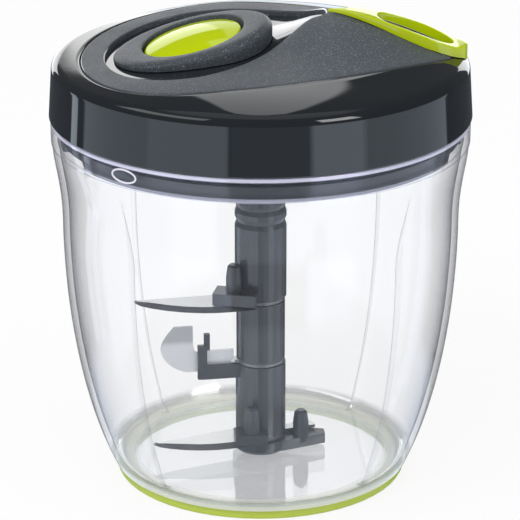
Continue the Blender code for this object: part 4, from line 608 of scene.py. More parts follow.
@dataclass(frozen=True)
class Clear(Finish):
    """Clear moulded plastic that reflects more as it is seen more from its side.

    Attributes:
        body: Least share of light that it holds back.
        edge: Share held back at its edges.
        floor: Share held back by the thick floor.
        veil: Share held back by the floor's outer part, over the foot ring, a painted reflection that pales
            the ring seen through it.
        glow: Colour of the light that its rim and its step gather.
    """
    body: float = 0.035
    edge: float = 0.85
    floor: float = 0.26
    veil: float = 0.52
    glow: Colour = (0.74, 0.72, 0.93)

    floor_z, floor_tint = (0.0058, 0.0072), (0.92, 0.93, 0.94)
    veil_z, veil_radius, veil_tint = (0.0046, 0.0060), (0.0400, 0.0420), (0.93, 0.94, 0.84)
    lip_z, lip_share = (0.1185, 0.1189), 0.75
    step_low_z, step_high_z, step_share = (0.1119, 0.1122), (0.1127, 0.1130), 0.40
    edge_power, scuff_share = 4.5, 0.012
    pale, dark = 1.12, 0.80
    wave_size, wave_depth = 0.030, 0.00005
    scuff_size, scuff_range = 0.0011, (0.52, 0.85)
    rough_scuff, rough_wave, rough_even = 0.08, 0.03, 0.02
    metal, line_dulls, veil_dulls = 0.75, 0.8, 0.6

    def inputs(self, graph: Graph) -> dict[str, Any]:
        """Return plastic that is see-through where it is faced and tinted at its edges."""
        facing = graph.node("ShaderNodeLayerWeight", inputs={"Blend": 0.5}, output="Facing")
        _, _, up = graph.axes(graph.place())
        wave = graph.noise(self.wave_size, 2.0)
        scuff = graph.noise(self.scuff_size, 4.0).rise(*self.scuff_range)
        floor = up.fall(*self.floor_z)
        # Painted reflection: the floor's outer part turns pale and less see-through over the foot ring.
        veil = up.fall(*self.veil_z) * graph.from_axis().rise(*self.veil_radius)
        step = up.rise(*self.step_low_z) * up.fall(*self.step_high_z)
        line = up.rise(*self.lip_z) * self.lip_share + step * self.step_share
        hold = facing.power(self.edge_power) * (self.edge - self.body)
        hold = hold + scuff * self.scuff_share + self.body
        hold = hold + floor * self.floor + veil * (self.veil - self.floor) + line
        tint = graph.mix(facing.power(2.0), shade(self.colour, self.pale), shade(self.colour, self.dark))
        tint = graph.mix(floor, tint, rgba(self.floor_tint))
        # Tint of the painted reflection over the foot ring.
        tint = graph.mix(veil, tint, rgba(self.veil_tint))
        return {"Base Color": graph.mix(line, tint, rgba(self.glow)),
                "Roughness": scuff * self.rough_scuff + wave * self.rough_wave + self.rough_even,
                "Metallic": self.metal - line * self.line_dulls - veil * self.veil_dulls,
                "Alpha": hold, "Normal": graph.bump(wave, self.wave_depth)}


@dataclass(frozen=True)
class Rubber(Finish):
    """Soft sealing rubber."""
    bloom_size, bloom_range, bloom_light = 0.006, (0.4, 0.7), 1.2
    rough_bloom, rough_even = 0.1, 0.55
    grain_size, grain_height = 0.0005, 0.00001

    def inputs(self, graph: Graph) -> dict[str, Any]:
        """Return a dusty bloom on matt rubber."""
        bloom = graph.noise(self.bloom_size, 5.0)
        dust = bloom.rise(*self.bloom_range)
        colour = graph.mix(dust, rgba(self.colour), shade(self.colour, self.bloom_light))
        return {"Base Color": colour, "Roughness": bloom * self.rough_bloom + self.rough_even,
                "Normal": graph.bump(graph.noise(self.grain_size, 2.0), self.grain_height)}


@dataclass(frozen=True)
class Braid(Finish):
    """Braided cord.

    Attributes:
        strand: Width of one strand.
    """
    strand: float = 0.00045

    fuzz_size, fuzz_share = 0.0003, 0.3
    hollow, depth = 0.62, 0.00012
    rough_fuzz, rough_even = 0.15, 0.72

    def inputs(self, graph: Graph) -> dict[str, Any]:
        """Return two sets of crossing strands, with painted shadow between them."""
        x, y, z = graph.axes(graph.place())
        pitch = FULL_TURN / self.strand
        left = ((x + y + z) * pitch).maths("SINE") * 0.5 + 0.5
        right = ((x + y - z) * pitch).maths("SINE") * 0.5 + 0.5
        weave = left.maths("MAXIMUM", right)
        fuzz = graph.noise(self.fuzz_size, 3.0)
        share = weave * (1.0 - self.fuzz_share) + fuzz * self.fuzz_share
        # Painted shadow: the colour darkens between the strands, where the weave lies low.
        colour = graph.mix(share, shade(self.colour, self.hollow), rgba(self.colour))
        return {"Base Color": colour, "Roughness": fuzz * self.rough_fuzz + self.rough_even,
                "Normal": graph.bump(weave, self.depth)}


class Finishes:
    """The chopper's materials, each built once."""
    shell = Plastic("Gloss anthracite", "gloss_black", (0.013, 0.0155, 0.0185), 0.045, Surface.GLOSS, 0.10)
    cover = Plastic("Satin anthracite", "satin_grey", (0.058, 0.067, 0.077), 0.50, Surface.SPARK, 0.06, 0.30)
    hub = Plastic("Satin hub", "satin_grey", (0.052, 0.060, 0.069), 0.44, Surface.SPARK, 0.06, 0.22)
    lip = Plastic("Polished edge", "satin_grey", (0.060, 0.068, 0.078), 0.10, Surface.GLOSS, 0.05)
    lime = Plastic("Gloss lime", "lime", (0.430, 0.530, 0.004), 0.07, Surface.GLOSS, 0.04)
    press = Plastic("Button lime", "lime", (0.430, 0.530, 0.004), 0.05, Surface.GLOSS, 0.04, 0.05)
    foot = Plastic("Soft lime foot", "foot_green", (0.46, 0.56, 0.065), 0.42, Surface.SATIN, 0.05)
    shaft = Plastic("Grey shaft", "shaft_grey", (0.050, 0.054, 0.060), 0.20, Surface.SATIN, 0.10)
    base = Plastic("Grey lid base", "shaft_grey", (0.036, 0.040, 0.048), 0.16, Surface.SATIN, 0.10)
    bush = Plastic("White bush", "bush_white", (0.78, 0.78, 0.74), 0.40, Surface.SATIN, 0.03)
    steel = Steel("Polished steel", "steel", (0.60, 0.60, 0.61), 0.20)
    blade = Steel("Blade steel", "steel", (0.80, 0.81, 0.81), 0.26, 0.50, 0.0006, 0.0000004, 0.20)
    leaf = Steel("Leaf steel", "steel", (0.84, 0.84, 0.85), 0.26, 0.40, 0.0006, 0.0000004, 0.20, 0.0088,
                 LEAF_REFLECTION_Z)
    mark = Plastic("Raised mark", "clear_plastic", (0.74, 0.73, 0.82), 0.20, Surface.GLOSS, 0.03)
    spring = Steel("Spring steel", "steel", (0.46, 0.46, 0.48), 0.30)
    clear = Clear("Clear bowl", "clear_plastic", (0.66, 0.67, 0.76))
    seal = Rubber("Seal rubber", "seal_rubber", (0.10, 0.10, 0.11))
    cord = Braid("White braid", "cord_white", (0.80, 0.80, 0.76))

    def __init__(self) -> None:
        """Start with nothing built."""
        self.built: dict[str, bpy.types.Material] = {}

    def get(self, finish: Finish) -> bpy.types.Material:
        """Return a finish's material, built the first time it is asked for."""
        if finish.name not in self.built:
            self.built[finish.name] = finish.build()
        return self.built[finish.name]

    def put(self, obj: bpy.types.Object, finish: Finish) -> bpy.types.Object:
        """Give an object one finish.

        Args:
            obj: Piece or CAD node.
            finish: One of the finishes above.

        Returns:
            The same object.
        """
        obj.data.materials.clear()
        obj.data.materials.append(self.get(finish))
        return obj


# Shapes that several pieces share

@dataclass(frozen=True)
class Dome:
    """Form of the lid's top, and the plan shapes drawn on it.

    Attributes give radii, heights and plan sizes of the crease, the low ridge that runs along X,
    the peak under the handle's root, the cover's egg and the recess in it.
    """
    lid_radius: float = 0.0670
    shoulder_radius: float = 0.0660
    bottom_z: float = 0.1202
    crease_z: float = 0.1380
    crease_round: float = 0.0026
    wall: float = 0.0021
    rise: float = 0.0059
    crest_x: float = -0.0063
    left_power: float = 2.33
    right_power: float = 1.57
    flank_power: float = 5.5
    peak_rise: float = 0.0105
    peak_x: float = 0.0232
    peak_left: float = 0.0167
    peak_right_power: float = 1.14
    peak_side: float = 0.0275
    cover_left: float = 0.0566
    cover_right: float = 0.0610
    cover_half: float = 0.0481
    egg_share: float = 0.316
    cover_thickness: float = 0.0022
    gap: float = 0.0003
    step_round: float = 0.0006
    recess_half: float = 0.0375
    recess_widest_x: float = -0.0211
    recess_left_x: float = -0.0490
    tail_radius: float = 0.0018
    tail_start_x: float = 0.0160
    tip_x: float = 0.0205
    tail_power: float = 0.67
    back_power: float = 3.2
    floor_rise: float = 0.0008

    def height(self, x: float, y: float) -> float:
        """Height of the dome's outside above the foot."""
        reach = self.shoulder_radius
        if x < self.crest_x:
            run = max(0.0, (x + reach) / (self.crest_x + reach))
            ridge = self.rise * math.sin(QUARTER * run) ** self.left_power
        else:
            run = max(0.0, (reach - x) / (reach - self.crest_x))
            ridge = self.rise * math.sin(QUARTER * run) ** self.right_power
        half_chord = math.sqrt(max(reach ** 2 - x ** 2, WELD ** 2))
        flank = 1.0 - min(1.0, abs(y) / half_chord) ** self.flank_power
        if x < self.peak_x:
            along = math.exp(-((x - self.peak_x) / self.peak_left) ** 2)
        else:
            run = max(0.0, (reach - x) / (reach - self.peak_x))
            along = math.sin(QUARTER * run) ** self.peak_right_power
        peak = self.peak_rise * along * math.exp(-(y / self.peak_side) ** 2)
        over = min(self.crease_round, max(0.0, math.hypot(x, y) - reach + self.crease_round))
        rounding = math.sqrt(max(0.0, self.crease_round ** 2 - over ** 2))
        low = self.crease_z - self.crease_round
        return low + rounding + ridge * flank + peak * max(0.0, 1.0 - over / self.crease_round)

    def seat(self, x: float, y: float) -> float:
        """Height of the seat below the cover."""
        return self.height(x, y) - self.cover_thickness - self.gap

    def floor(self, x: float, y: float) -> float:
        """Height of the recess's floor, a little above the cover's seat."""
        return self.seat(x, y) + self.floor_rise

    def recess_front(self, x: float) -> float:
        """Reach of the recess towards -Y, which draws in to a narrow tail."""
        if x <= self.recess_widest_x:
            run = (self.recess_widest_x - x) / (self.recess_widest_x - self.recess_left_x)
            return self.recess_half * math.sqrt(max(0.0, 1.0 - run ** 2))
        centre = self.tip_x - self.tail_radius
        if x > centre:
            return math.sqrt(max(0.0, self.tail_radius ** 2 - (x - centre) ** 2))
        run = min(1.0, (x - self.recess_widest_x) / (self.tail_start_x - self.recess_widest_x))
        fall = ((1.0 + math.cos(math.pi * run)) / 2) ** self.tail_power
        return self.tail_radius + (self.recess_half - self.tail_radius) * fall

    def recess_back(self, x: float) -> float:
        """Reach of the recess towards +Y, where it stays wide up to its tip."""
        if x <= self.recess_widest_x:
            return self.recess_front(x)
        run = min(1.0, (x - self.recess_widest_x) / (self.tip_x - self.recess_widest_x))
        return self.recess_half * math.sqrt(1.0 - run ** self.back_power)

    def in_recess(self, x: float, y: float) -> bool:
        """Tell whether a plan point lies in the eye-shaped recess."""
        return y < self.recess_back(x) if y > 0.0 else -y < self.recess_front(x)

    def in_cover(self, x: float, y: float) -> bool:
        """Tell whether a plan point lies inside the cover's egg-shaped edge."""
        length = self.cover_left if x < 0.0 else self.cover_right
        along = max(-1.0, min(1.0, x / length))
        half = self.cover_half * math.sqrt(1.0 - along ** 2) * (1.0 - self.egg_share * along)
        return abs(x) < length and abs(y) < half

    def in_circle(self, radius: float) -> Inside:
        """Return a test for a circle about the lid's axis."""
        return lambda x, y: math.hypot(x, y) < radius


@dataclass(frozen=True)
class HubSizes:
    """Sizes of the hub and the stop button.

    Attributes give the hub's place and radius, the oval bore and its cup, and the button's form.
    """
    x: float = -0.0213
    radius: float = 0.0250
    crest_share: float = 0.865
    wall_share: float = 0.42
    foot_share: float = 0.2
    bore: float = 0.0160
    stretch: float = 1.21
    top_z: float = 0.1453
    tilt: float = 0.245
    cup_wall: float = 0.0013
    cup_bottom_z: float = 0.1338
    edge_round: float = 0.0006
    button_radius: float = 0.0153
    button_below: float = 0.0009
    button_round: float = 0.0008
    round_stretch: float = 1.6
    crown: float = 0.0017
    underside_z: float = 0.1390
    pin_radius: float = 0.0014
    travel: float = 0.0022
    coil_wire: float = 0.0004
    coil_radius: float = 0.0042
    coil_turns: int = 3

    def top(self, x: float, y: float) -> float:
        """Height of the hub's tilted top."""
        return self.top_z + self.tilt * (x - self.x)


@dataclass(frozen=True)
class HandleSizes:
    """Sizes of the pull handle, of the finger well below it and of the cord, as their solids have them."""
    tip_x: float = 0.0210
    end_x: float = 0.0650
    half_width: float = 0.0085
    widest_x: float = 0.0515
    taper_power: float = 1.10
    root_thickness: float = 0.0010
    thickness: float = 0.0031
    level_x: float = 0.0615
    gap_left: float = 0.0365
    gap_right: float = 0.0605
    gap_round: float = 0.0030
    arm: float = 0.0016
    edge_round: float = 0.000384
    stem_round: float = 0.00048
    well_left: float = 0.0305
    well_right: float = 0.0573
    slot_half: float = 0.0027
    well_corner: float = 0.0009
    well_wall: float = 0.0008
    floor_z: float = 0.1392
    stem_length: float = 0.0050
    stem_left: float = 0.0311
    stem_half: float = 0.0024
    stem_bottom: float = 0.1420
    cord_z: float = 0.1443
    cord_radius: float = 0.0010
    cord_gap: float = 0.0003
    bead_radius: float = 0.0016
    pocket_left: float = 0.0333

    def outer_half(self, x: float) -> float:
        """Half width of the handle's outline at a place along X."""
        if x > self.widest_x:
            run = min(1.0, (x - self.widest_x) / (self.end_x - self.widest_x))
            return self.half_width * math.sqrt(1.0 - run ** 2)
        run = max(0.0, (x - self.tip_x) / (self.widest_x - self.tip_x))
        return self.half_width * math.sin(QUARTER * run) ** self.taper_power

    def in_outline(self, x: float, y: float) -> bool:
        """Tell whether a plan point lies inside the handle's outline."""
        return abs(y) < self.outer_half(x)

    def in_gap(self, x: float, y: float) -> bool:
        """Tell whether a plan point lies in the finger gap."""
        if x < self.gap_left or x > self.gap_right:
            return False
        if x > self.widest_x:
            run = (x - self.widest_x) / (self.gap_right - self.widest_x)
            return abs(y) < (self.half_width - self.arm) * math.sqrt(1.0 - run ** 2)
        near = 1.0 - min(1.0, (x - self.gap_left) / self.gap_round)
        return abs(y) < (self.outer_half(x) - self.arm) * math.sqrt(1.0 - near ** 2)

    def well_half(self, x: float) -> float:
        """Half width of the finger well, a slot for the stem that opens out below the gap."""
        if x > self.widest_x:
            run = (x - self.widest_x) / (self.well_right - self.widest_x)
            return (self.half_width - self.arm) * math.sqrt(max(0.0, 1.0 - run ** 2))
        run = max(0.0, min(1.0, (x - self.gap_left) / self.gap_round))
        return self.slot_half + (self.outer_half(x) - self.arm - self.slot_half) * run

    def well_outline(self, grow: float, steps: int = 44) -> list[Point]:
        """Return the finger well's plan outline, grown outwards by a distance."""
        length = self.well_right - self.well_left
        edge = [(self.well_left, self.slot_half - self.well_corner),
                (self.well_left + self.well_corner * 0.3, self.slot_half - self.well_corner * 0.3)]
        for step in range(4, steps):
            x = self.well_left + length * math.sin(QUARTER * step / steps)
            edge.append((x, self.well_half(x)))
        outline = [(x, -y) for x, y in edge] + [(self.well_right, 0.0)] + edge[::-1]
        return offset(outline, grow)


@dataclass(frozen=True)
class ReelSizes:
    """Sizes of the cord's winding on its reel, and of the seal round the lid's skirt."""
    winding_z: float = 0.1282
    winding_radius: float = 0.0205
    winding_turns: float = 2.75
    winding_pitch: float = 0.0026
    flange_radius: float = 0.0245
    eyelet_flange: float = 0.0008
    gap: float = 0.0003
    seal_inner: float = 0.0609
    seal_radial: float = 0.0016
    seal_z: float = 0.1178
    seal_height: float = 0.0024
    band_inner: float = 0.0609
    band_outer: float = 0.0634
    band_bottom: float = 0.1115
    band_top: float = 0.1163
    notches: tuple[float, ...] = (23.0, 165.0, 203.0, 345.0)
    notch_half: float = 8.4
    notch_edge: float = 0.8
    notch_height: float = 0.0025


def smooth_route(points: Sequence[Vector], per_span: int) -> list[Vector]:
    """Return points on a smooth curve through a route's own points."""
    padded = [points[0] * 2 - points[1], *points, points[-1] * 2 - points[-2]]
    made = []
    for p0, p1, p2, p3 in zip(padded, padded[1:], padded[2:], padded[3:]):
        for index in range(per_span):
            t = index / per_span
            made.append(0.5 * (2 * p1 + (p2 - p0) * t + (2 * p0 - 5 * p1 + 4 * p2 - p3) * t * t
                               + (3 * p1 - p0 - 3 * p2 + p3) * t ** 3))
    return made + [points[-1]]


def tube(name: str, points: Sequence[Vector], radius: float, around: int = 20) -> bpy.types.Object:
    """Return a round tube along a line of points, with its ends closed.

    Args:
        name: Name of the new object.
        points: Points of the centre line.
        radius: Radius of the tube.
        around: Points in each ring.

    Returns:
        The new object.
    """
    rings = []
    side = Vector((0.0, 0.0, 1.0))
    for index, point in enumerate(points):
        back = points[max(0, index - 1)]
        ahead = points[min(len(points) - 1, index + 1)]
        along = (ahead - back).normalized()
        side = (side - along * side.dot(along)).normalized()
        third = along.cross(side)
        rings.append([point + side * (radius * math.cos(FULL_TURN * part / around))
                      + third * (radius * math.sin(FULL_TURN * part / around)) for part in range(around)])
    return skin(name, rings)


def prism(name: str, outline: Sequence[Point], bottom: float, top: float) -> bpy.types.Object:
    """Return a plain upright piece on a plan outline."""
    return skin(name, [raised(outline, level(bottom)), raised(outline, level(top))])


def drill(name: str, radius: float, start: float, end: float, height: float) -> bpy.types.Object:
    """Return a rod along X, which cuts a bore for the cord.

    Args:
        name: Name of the new object.
        radius: Radius of the bore.
        start: Place along X where it starts.
        end: Place along X where it ends.
        height: Height of its middle.

    Returns:
        The new object.
    """
    made = revolve(name, [(0.0, 0.0), (radius, 0.0), (radius, end - start), (0.0, end - start)], 32)
    lay_down = Matrix.Rotation(QUARTER, 4, "Y")
    made.data.transform(Matrix.Translation((start, 0.0, height)) @ lay_down)
    return made


# Sub-assemblies

class Piece:
    """Something that builds and dresses a set of meshes.

    Attributes:
        finishes: The chopper's materials.
        nodes: The CAD nodes by name.
    """

    def __init__(self, finishes: Finishes) -> None:
        """Keep the finishes and the frame's nodes."""
        self.finishes = finishes
        self.nodes: dict[str, bpy.types.Object] = frame["nodes"]

    def settle(self, obj: bpy.types.Object, body: str, finish: Finish, *nodes: str) -> bpy.types.Object:
        """Dress a piece, let it ride on a body and stand for CAD nodes, if any.

        Args:
            obj: The new piece.
            body: Name of its body.
            finish: Its finish.
            *nodes: CAD nodes that it replaces.

        Returns:
            The same piece.
        """
        self.finishes.put(obj, finish)
        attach(obj, body)
        if nodes:
            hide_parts(*nodes)
        stands_for = ", ".join(nodes) or "no node"
        log.info("%s: %d faces on %s for %s", obj.name, len(obj.data.polygons), body, stands_for)
        return obj

    def dress(self, finish: Finish, names: Iterable[str], bevel: float = 0.0) -> None:
        """Give CAD nodes a finish and, where it is asked for, a small bevel.

        Args:
            finish: Their finish.
            names: Names of the nodes.
            bevel: Width of the bevel, or zero for none.
        """
        for name in names:
            node = self.nodes[name]
            self.finishes.put(node, finish)
            if bevel > 0.0:
                step = node.modifiers.new("Soft edges", "BEVEL")
                step.width = bevel
                step.segments = 2
                step.limit_method = "ANGLE"
                step.angle_limit = math.radians(BEVEL_DEGREES)
                step.harden_normals = True
            log.info("%s dressed as %s", name, finish.name)


@dataclass(frozen=True)
class BowlSizes:
    """Sizes of the clear bowl, as its solid has them."""
    foot_radius: float = 0.0470
    foot_height: float = 0.0029
    foot_width: float = 0.0050
    gap: float = 0.0003
    base_radius: float = 0.0478
    base_drop: float = 0.0009
    wall: float = 0.0021
    floor: float = 0.0021
    fillet: float = 0.0060
    neck_radius: float = 0.0633
    neck_z: float = 0.0860
    belly_pull: float = 0.0300
    foot_pull_radius: float = 0.0104
    foot_pull_z: float = 0.0208
    rim_radius: float = 0.0665
    rim_z: float = 0.1124
    rim_step: float = 0.0004
    rim_top: float = 0.1199
    rim_round: float = 0.0005
    fins: int = 4
    fin_first: float = math.radians(47.0)
    fin_height: float = 0.0042
    fin_foot: float = 0.0024
    fin_half_width: float = 0.0016
    fin_round: float = 0.7
    fin_top: float = 0.1080
    fin_crest: float = 0.0840
    mark_angle: float = math.radians(231.7)
    mark_length: float = 0.0092
    mark_height: float = 0.0040
    mark_line: float = 0.0003
    boss: float = 0.0050
    socket: float = 0.0028
    socket_depth: float = 0.0012
    sharp_degrees: float = 30.0


def bezier(points: Sequence[Point], steps: int) -> list[Point]:
    """Return points on a cubic curve through its first and last control point."""
    made = []
    for index in range(steps + 1):
        t = index / steps
        weights = ((1 - t) ** 3, 3 * t * (1 - t) ** 2, 3 * t * t * (1 - t), t ** 3)
        made.append(tuple(sum(w * point[axis] for w, point in zip(weights, points)) for axis in range(2)))
    return made


class Bowl(Piece):
    """Clear bowl with its fins, its rim band, the foot ring and the pivot pin."""
    sizes = BowlSizes()

    def outer(self) -> list[Point]:
        """Return the outside from the base up to below the rim band."""
        s = self.sizes
        base_z = s.foot_height + s.gap
        neck = (s.neck_radius, s.neck_z)
        lower_pull = (s.base_radius + s.foot_pull_radius, base_z + s.foot_pull_z)
        upper_pull = (s.neck_radius, s.neck_z - s.belly_pull)
        lower = bezier(((s.base_radius, base_z), lower_pull, upper_pull, neck), 30)
        rise = (s.rim_z - s.neck_z) / 2
        collar = s.rim_radius - s.rim_step
        upper = bezier((neck, (s.neck_radius, s.neck_z + rise), (collar, s.rim_z - rise / 2),
                        (collar, s.rim_z)), 12)
        return lower + upper[1:]

    def fin(self, height: float) -> float:
        """Return how far a fin stands in from the wall at a height."""
        s = self.sizes
        if height >= s.fin_top:
            return 0.0
        if height > s.fin_crest:
            return s.fin_height * (s.fin_top - height) / (s.fin_top - s.fin_crest)
        return s.fin_foot + (s.fin_height - s.fin_foot) * max(0.0, height) / s.fin_crest

    def angles(self) -> list[tuple[float, float]]:
        """Return the angles round the bowl, each with how much of a fin stands there."""
        s = self.sizes
        half = s.fin_half_width / s.neck_radius
        pitch = FULL_TURN / s.fins
        steps = 40
        made = []
        for index in range(s.fins):
            centre = s.fin_first + index * pitch
            for quarter in range(-4, 5):
                share = quarter / 4
                weight = math.cos(QUARTER * share) ** s.fin_round if abs(quarter) < 4 else 0.0
                made.append((centre + share * half, weight))
            run = pitch - 2 * half
            made += [(centre + half + run * step / steps, 0.0) for step in range(1, steps)]
        return made

    def build(self) -> None:
        """Build the bowl and dress its foot and its pin."""
        s = self.sizes
        floor_z = s.foot_height + s.gap - s.base_drop + s.floor
        wall = s.rim_radius - s.wall
        outer = rounded([(s.rim_radius - s.rim_step, s.rim_z, 0.0), (s.rim_radius, s.rim_z, s.rim_step / 3),
                         (s.rim_radius, s.rim_top, s.rim_round), (wall, s.rim_top, s.rim_round),
                         (wall, s.rim_z, 0.0)], 4)
        inner = [(radius - s.wall, height) for radius, height in self.outer() if height > floor_z + s.fillet]
        corner = inner[0]
        fillet = bezier((corner, (corner[0] - s.fillet / 4, floor_z + s.fillet / 3),
                         (corner[0] - s.fillet / 2, floor_z), (corner[0] - s.fillet, floor_z)), 10)
        sunk = floor_z - s.socket_depth
        seat = s.foot_radius - s.foot_width - s.gap
        underside = floor_z - s.floor
        middle = [(seat * share, floor_z) for share in (0.8, 0.55, 0.3)]
        middle += [(s.boss, floor_z), (s.socket, floor_z), (s.socket, sunk), (0.0, sunk)]
        bottom = [(0.0, underside), (seat * 0.5, underside), (seat, underside)]
        bottom += [(seat, s.foot_height + s.gap)]
        profile = self.outer() + outer[1:] + inner[::-1][1:] + fillet[1:] + middle + bottom
        first_inner = len(self.outer()) + len(outer) - 2
        spokes = self.angles()
        rings = []
        for index, (radius, height) in enumerate(profile):
            finned = index > first_inner and radius > corner[0] - s.fillet
            reach = self.fin(height) * finned
            rings.append([polar(radius - weight * reach, angle, height) for angle, weight in spokes])
        bowl = fused("bowl_clear", rings, sharp_degrees=s.sharp_degrees)
        self.settle(bowl, "bowl", Finishes.clear, "bowl")
        self.mark()
        self.dress(Finishes.foot, ["base_ring"], 0.0003)
        self.dress(Finishes.steel, ["pivot_pin"])

    def mark(self) -> None:
        """Build the raised line of the oval mark on the rim band."""
        s = self.sizes
        steps = 48
        points = []
        for index in range(steps + 1):
            turn = FULL_TURN * index / steps
            angle = s.mark_angle + math.cos(turn) * s.mark_length / 2 / s.rim_radius
            height = (s.rim_z + s.rim_top) / 2 + math.sin(turn) * s.mark_height / 2
            points.append(polar(s.rim_radius, angle, height))
        self.settle(tube("rim_mark", points, s.mark_line, 8), "bowl", Finishes.mark)


class LidTop(Piece):
    """Glossy shell, textured cover, hub, stop button and finger well."""
    dome = Dome()
    hub = HubSizes()
    handle = HandleSizes()
    lip_facing, lip_down = 0.94, -0.1

    def __init__(self, finishes: Finishes) -> None:
        """Measure the plan rings that the shell and the cover share."""
        super().__init__(finishes)
        self.fan = Fan(self.hub.x, half_steps=150, crowd=1.75)
        self.eye = self.fan.ring(self.dome.in_recess)
        self.egg = self.fan.ring(self.dome.in_cover)

    def build(self) -> None:
        """Build the pieces of the lid's top."""
        self.shell()
        self.cover()
        self.hub_ring()
        self.button()
        self.coil()
        self.finger_well()

    def polish(self, obj: bpy.types.Object, top: Height, depth: float) -> None:
        """Give a piece's rounded upper edges a polished finish, where its grain stops.

        Args:
            obj: The piece, dressed already.
            top: Height of its upper side.
            depth: How far below the upper side the polish reaches.
        """
        obj.data.materials.append(self.finishes.get(Finishes.lip))
        step = self.dome.gap
        for face in obj.data.polygons:
            x, y, z = face.center
            slope = Vector((top(x - step, y) - top(x + step, y), top(x, y - step) - top(x, y + step),
                            2 * step)).normalized()
            turned = face.normal.dot(slope) < self.lip_facing and face.normal.z > self.lip_down
            if z > top(x, y) - depth and turned:
                face.material_index = 1

    def well_cutter(self) -> bpy.types.Object:
        """Return a cutter for the finger well's opening."""
        top = self.dome.crease_z + self.dome.rise + self.dome.peak_rise + self.dome.wall
        outline = self.handle.well_outline(self.handle.well_wall + self.dome.gap)
        return prism("well_cutter", outline, self.dome.crease_z - self.dome.wall * 2, top)

    def shell(self) -> None:
        """Build the glossy shell: wall, rounded crease, dome, step and sunk seat."""
        d, h = self.dome, self.hub
        hole = self.fan.ellipse(h.bore + h.cup_wall + d.gap, h.stretch)
        step = offset(self.egg, d.gap)
        inner_edge = offset(step, d.step_round)
        start = d.shoulder_radius - d.crease_round
        shoulder = self.fan.ring(d.in_circle(start))
        ceiling = lowered(d.seat, d.wall)
        rings = [raised(hole, ceiling), raised(hole, lowered(d.seat, d.gap / 2))]
        rings += [raised(offset(hole, d.gap / 2), d.floor)]
        floor_edge = offset(self.eye, -d.gap * 2)
        rings += spread(hole, floor_edge, d.floor, 8, last=True)
        rings += [raised(offset(self.eye, -d.gap), d.floor), raised(self.eye, d.seat)]
        rings += spread(self.eye, step, d.seat, 8)
        rings += [raised(step, d.seat)]
        rings += edge_rings(step, d.height, d.step_round, 1.0)
        rings += spread(inner_edge, shoulder, d.height, 9, last=True)
        for turn in range(1, 11):
            reach = start + d.crease_round * math.sin(QUARTER * turn / 10)
            rings.append(raised(self.fan.ring(d.in_circle(reach)), d.height))
        low = d.crease_z - d.crease_round
        slope = (d.lid_radius - d.shoulder_radius) / (low - d.bottom_z)
        for share in (0.2, 0.45, 0.7, 0.9, 0.975):
            height = low + (d.bottom_z - low) * share
            reach = d.shoulder_radius + (low - height) * slope
            rings.append(raised(self.fan.ring(d.in_circle(reach)), level(height)))
        rings.append(raised(self.fan.ring(d.in_circle(d.lid_radius - d.gap)), level(d.bottom_z)))
        rings.append(raised(self.fan.ring(d.in_circle(d.lid_radius - d.wall)), level(d.bottom_z)))
        rings.append(raised(self.fan.ring(d.in_circle(d.shoulder_radius - d.wall)), level(low - d.wall)))
        inner_step = offset(self.egg, -d.wall)
        rings += [raised(inner_step, lambda x, y: max(low - d.wall, ceiling(x, y)))]
        rings += [raised(between(inner_step, hole, share), ceiling) for share in (0.3, 0.6, 0.85)]
        made = skin("shell_gloss", rings, closed=True)
        cut(made, self.well_cutter())
        self.settle(made, "lid", Finishes.shell, "lid_shell")

    def cover(self) -> None:
        """Build the textured cover with its rounded edges."""
        d = self.dome
        edge = d.cover_thickness / 4
        under = lowered(d.height, d.cover_thickness)
        inner = offset(self.eye, edge)
        outer = offset(self.egg, -edge)
        rings = [raised(self.eye, under)]
        rings += edge_rings(self.eye, d.height, edge, 1.0)
        rings += spread(inner, outer, d.height, 22)
        rings += edge_rings(self.egg, d.height, edge, -1.0, falling=True)
        rings += [raised(self.egg, under)]
        rings += spread(self.egg, self.eye, under, 10)
        made = skin("cover_satin", rings, closed=True)
        cut(made, self.well_cutter())
        self.settle(made, "lid", Finishes.cover, "top_cover")
        self.polish(made, d.height, edge * 1.5)

    def finger_well(self) -> None:
        """Build the finger well, an open tub with a rounded lip let into the dome."""
        d, s = self.dome, self.handle
        lip = lowered(d.height, d.gap)
        outer = s.well_outline(s.well_wall)
        middle = s.well_outline(s.well_wall / 2)
        inner = s.well_outline(0.0)
        low = s.well_outline(-s.well_wall / 2)
        soft = s.well_wall / 3
        under = s.floor_z - s.well_wall
        rings = [raised(outer, level(under)), raised(outer, lowered(lip, soft)), raised(middle, lip)]
        rings += [raised(inner, lowered(lip, soft)), raised(inner, level(s.floor_z + s.well_wall))]
        rings += [raised(low, level(s.floor_z))]
        made = skin("well_lime", rings)
        start = s.well_left - s.well_wall * 2
        cut(made, drill("eyelet_hole", s.bead_radius + d.gap, start, start + s.well_wall * 3, s.cord_z))
        self.settle(made, "lid", Finishes.lime, "finger_well")

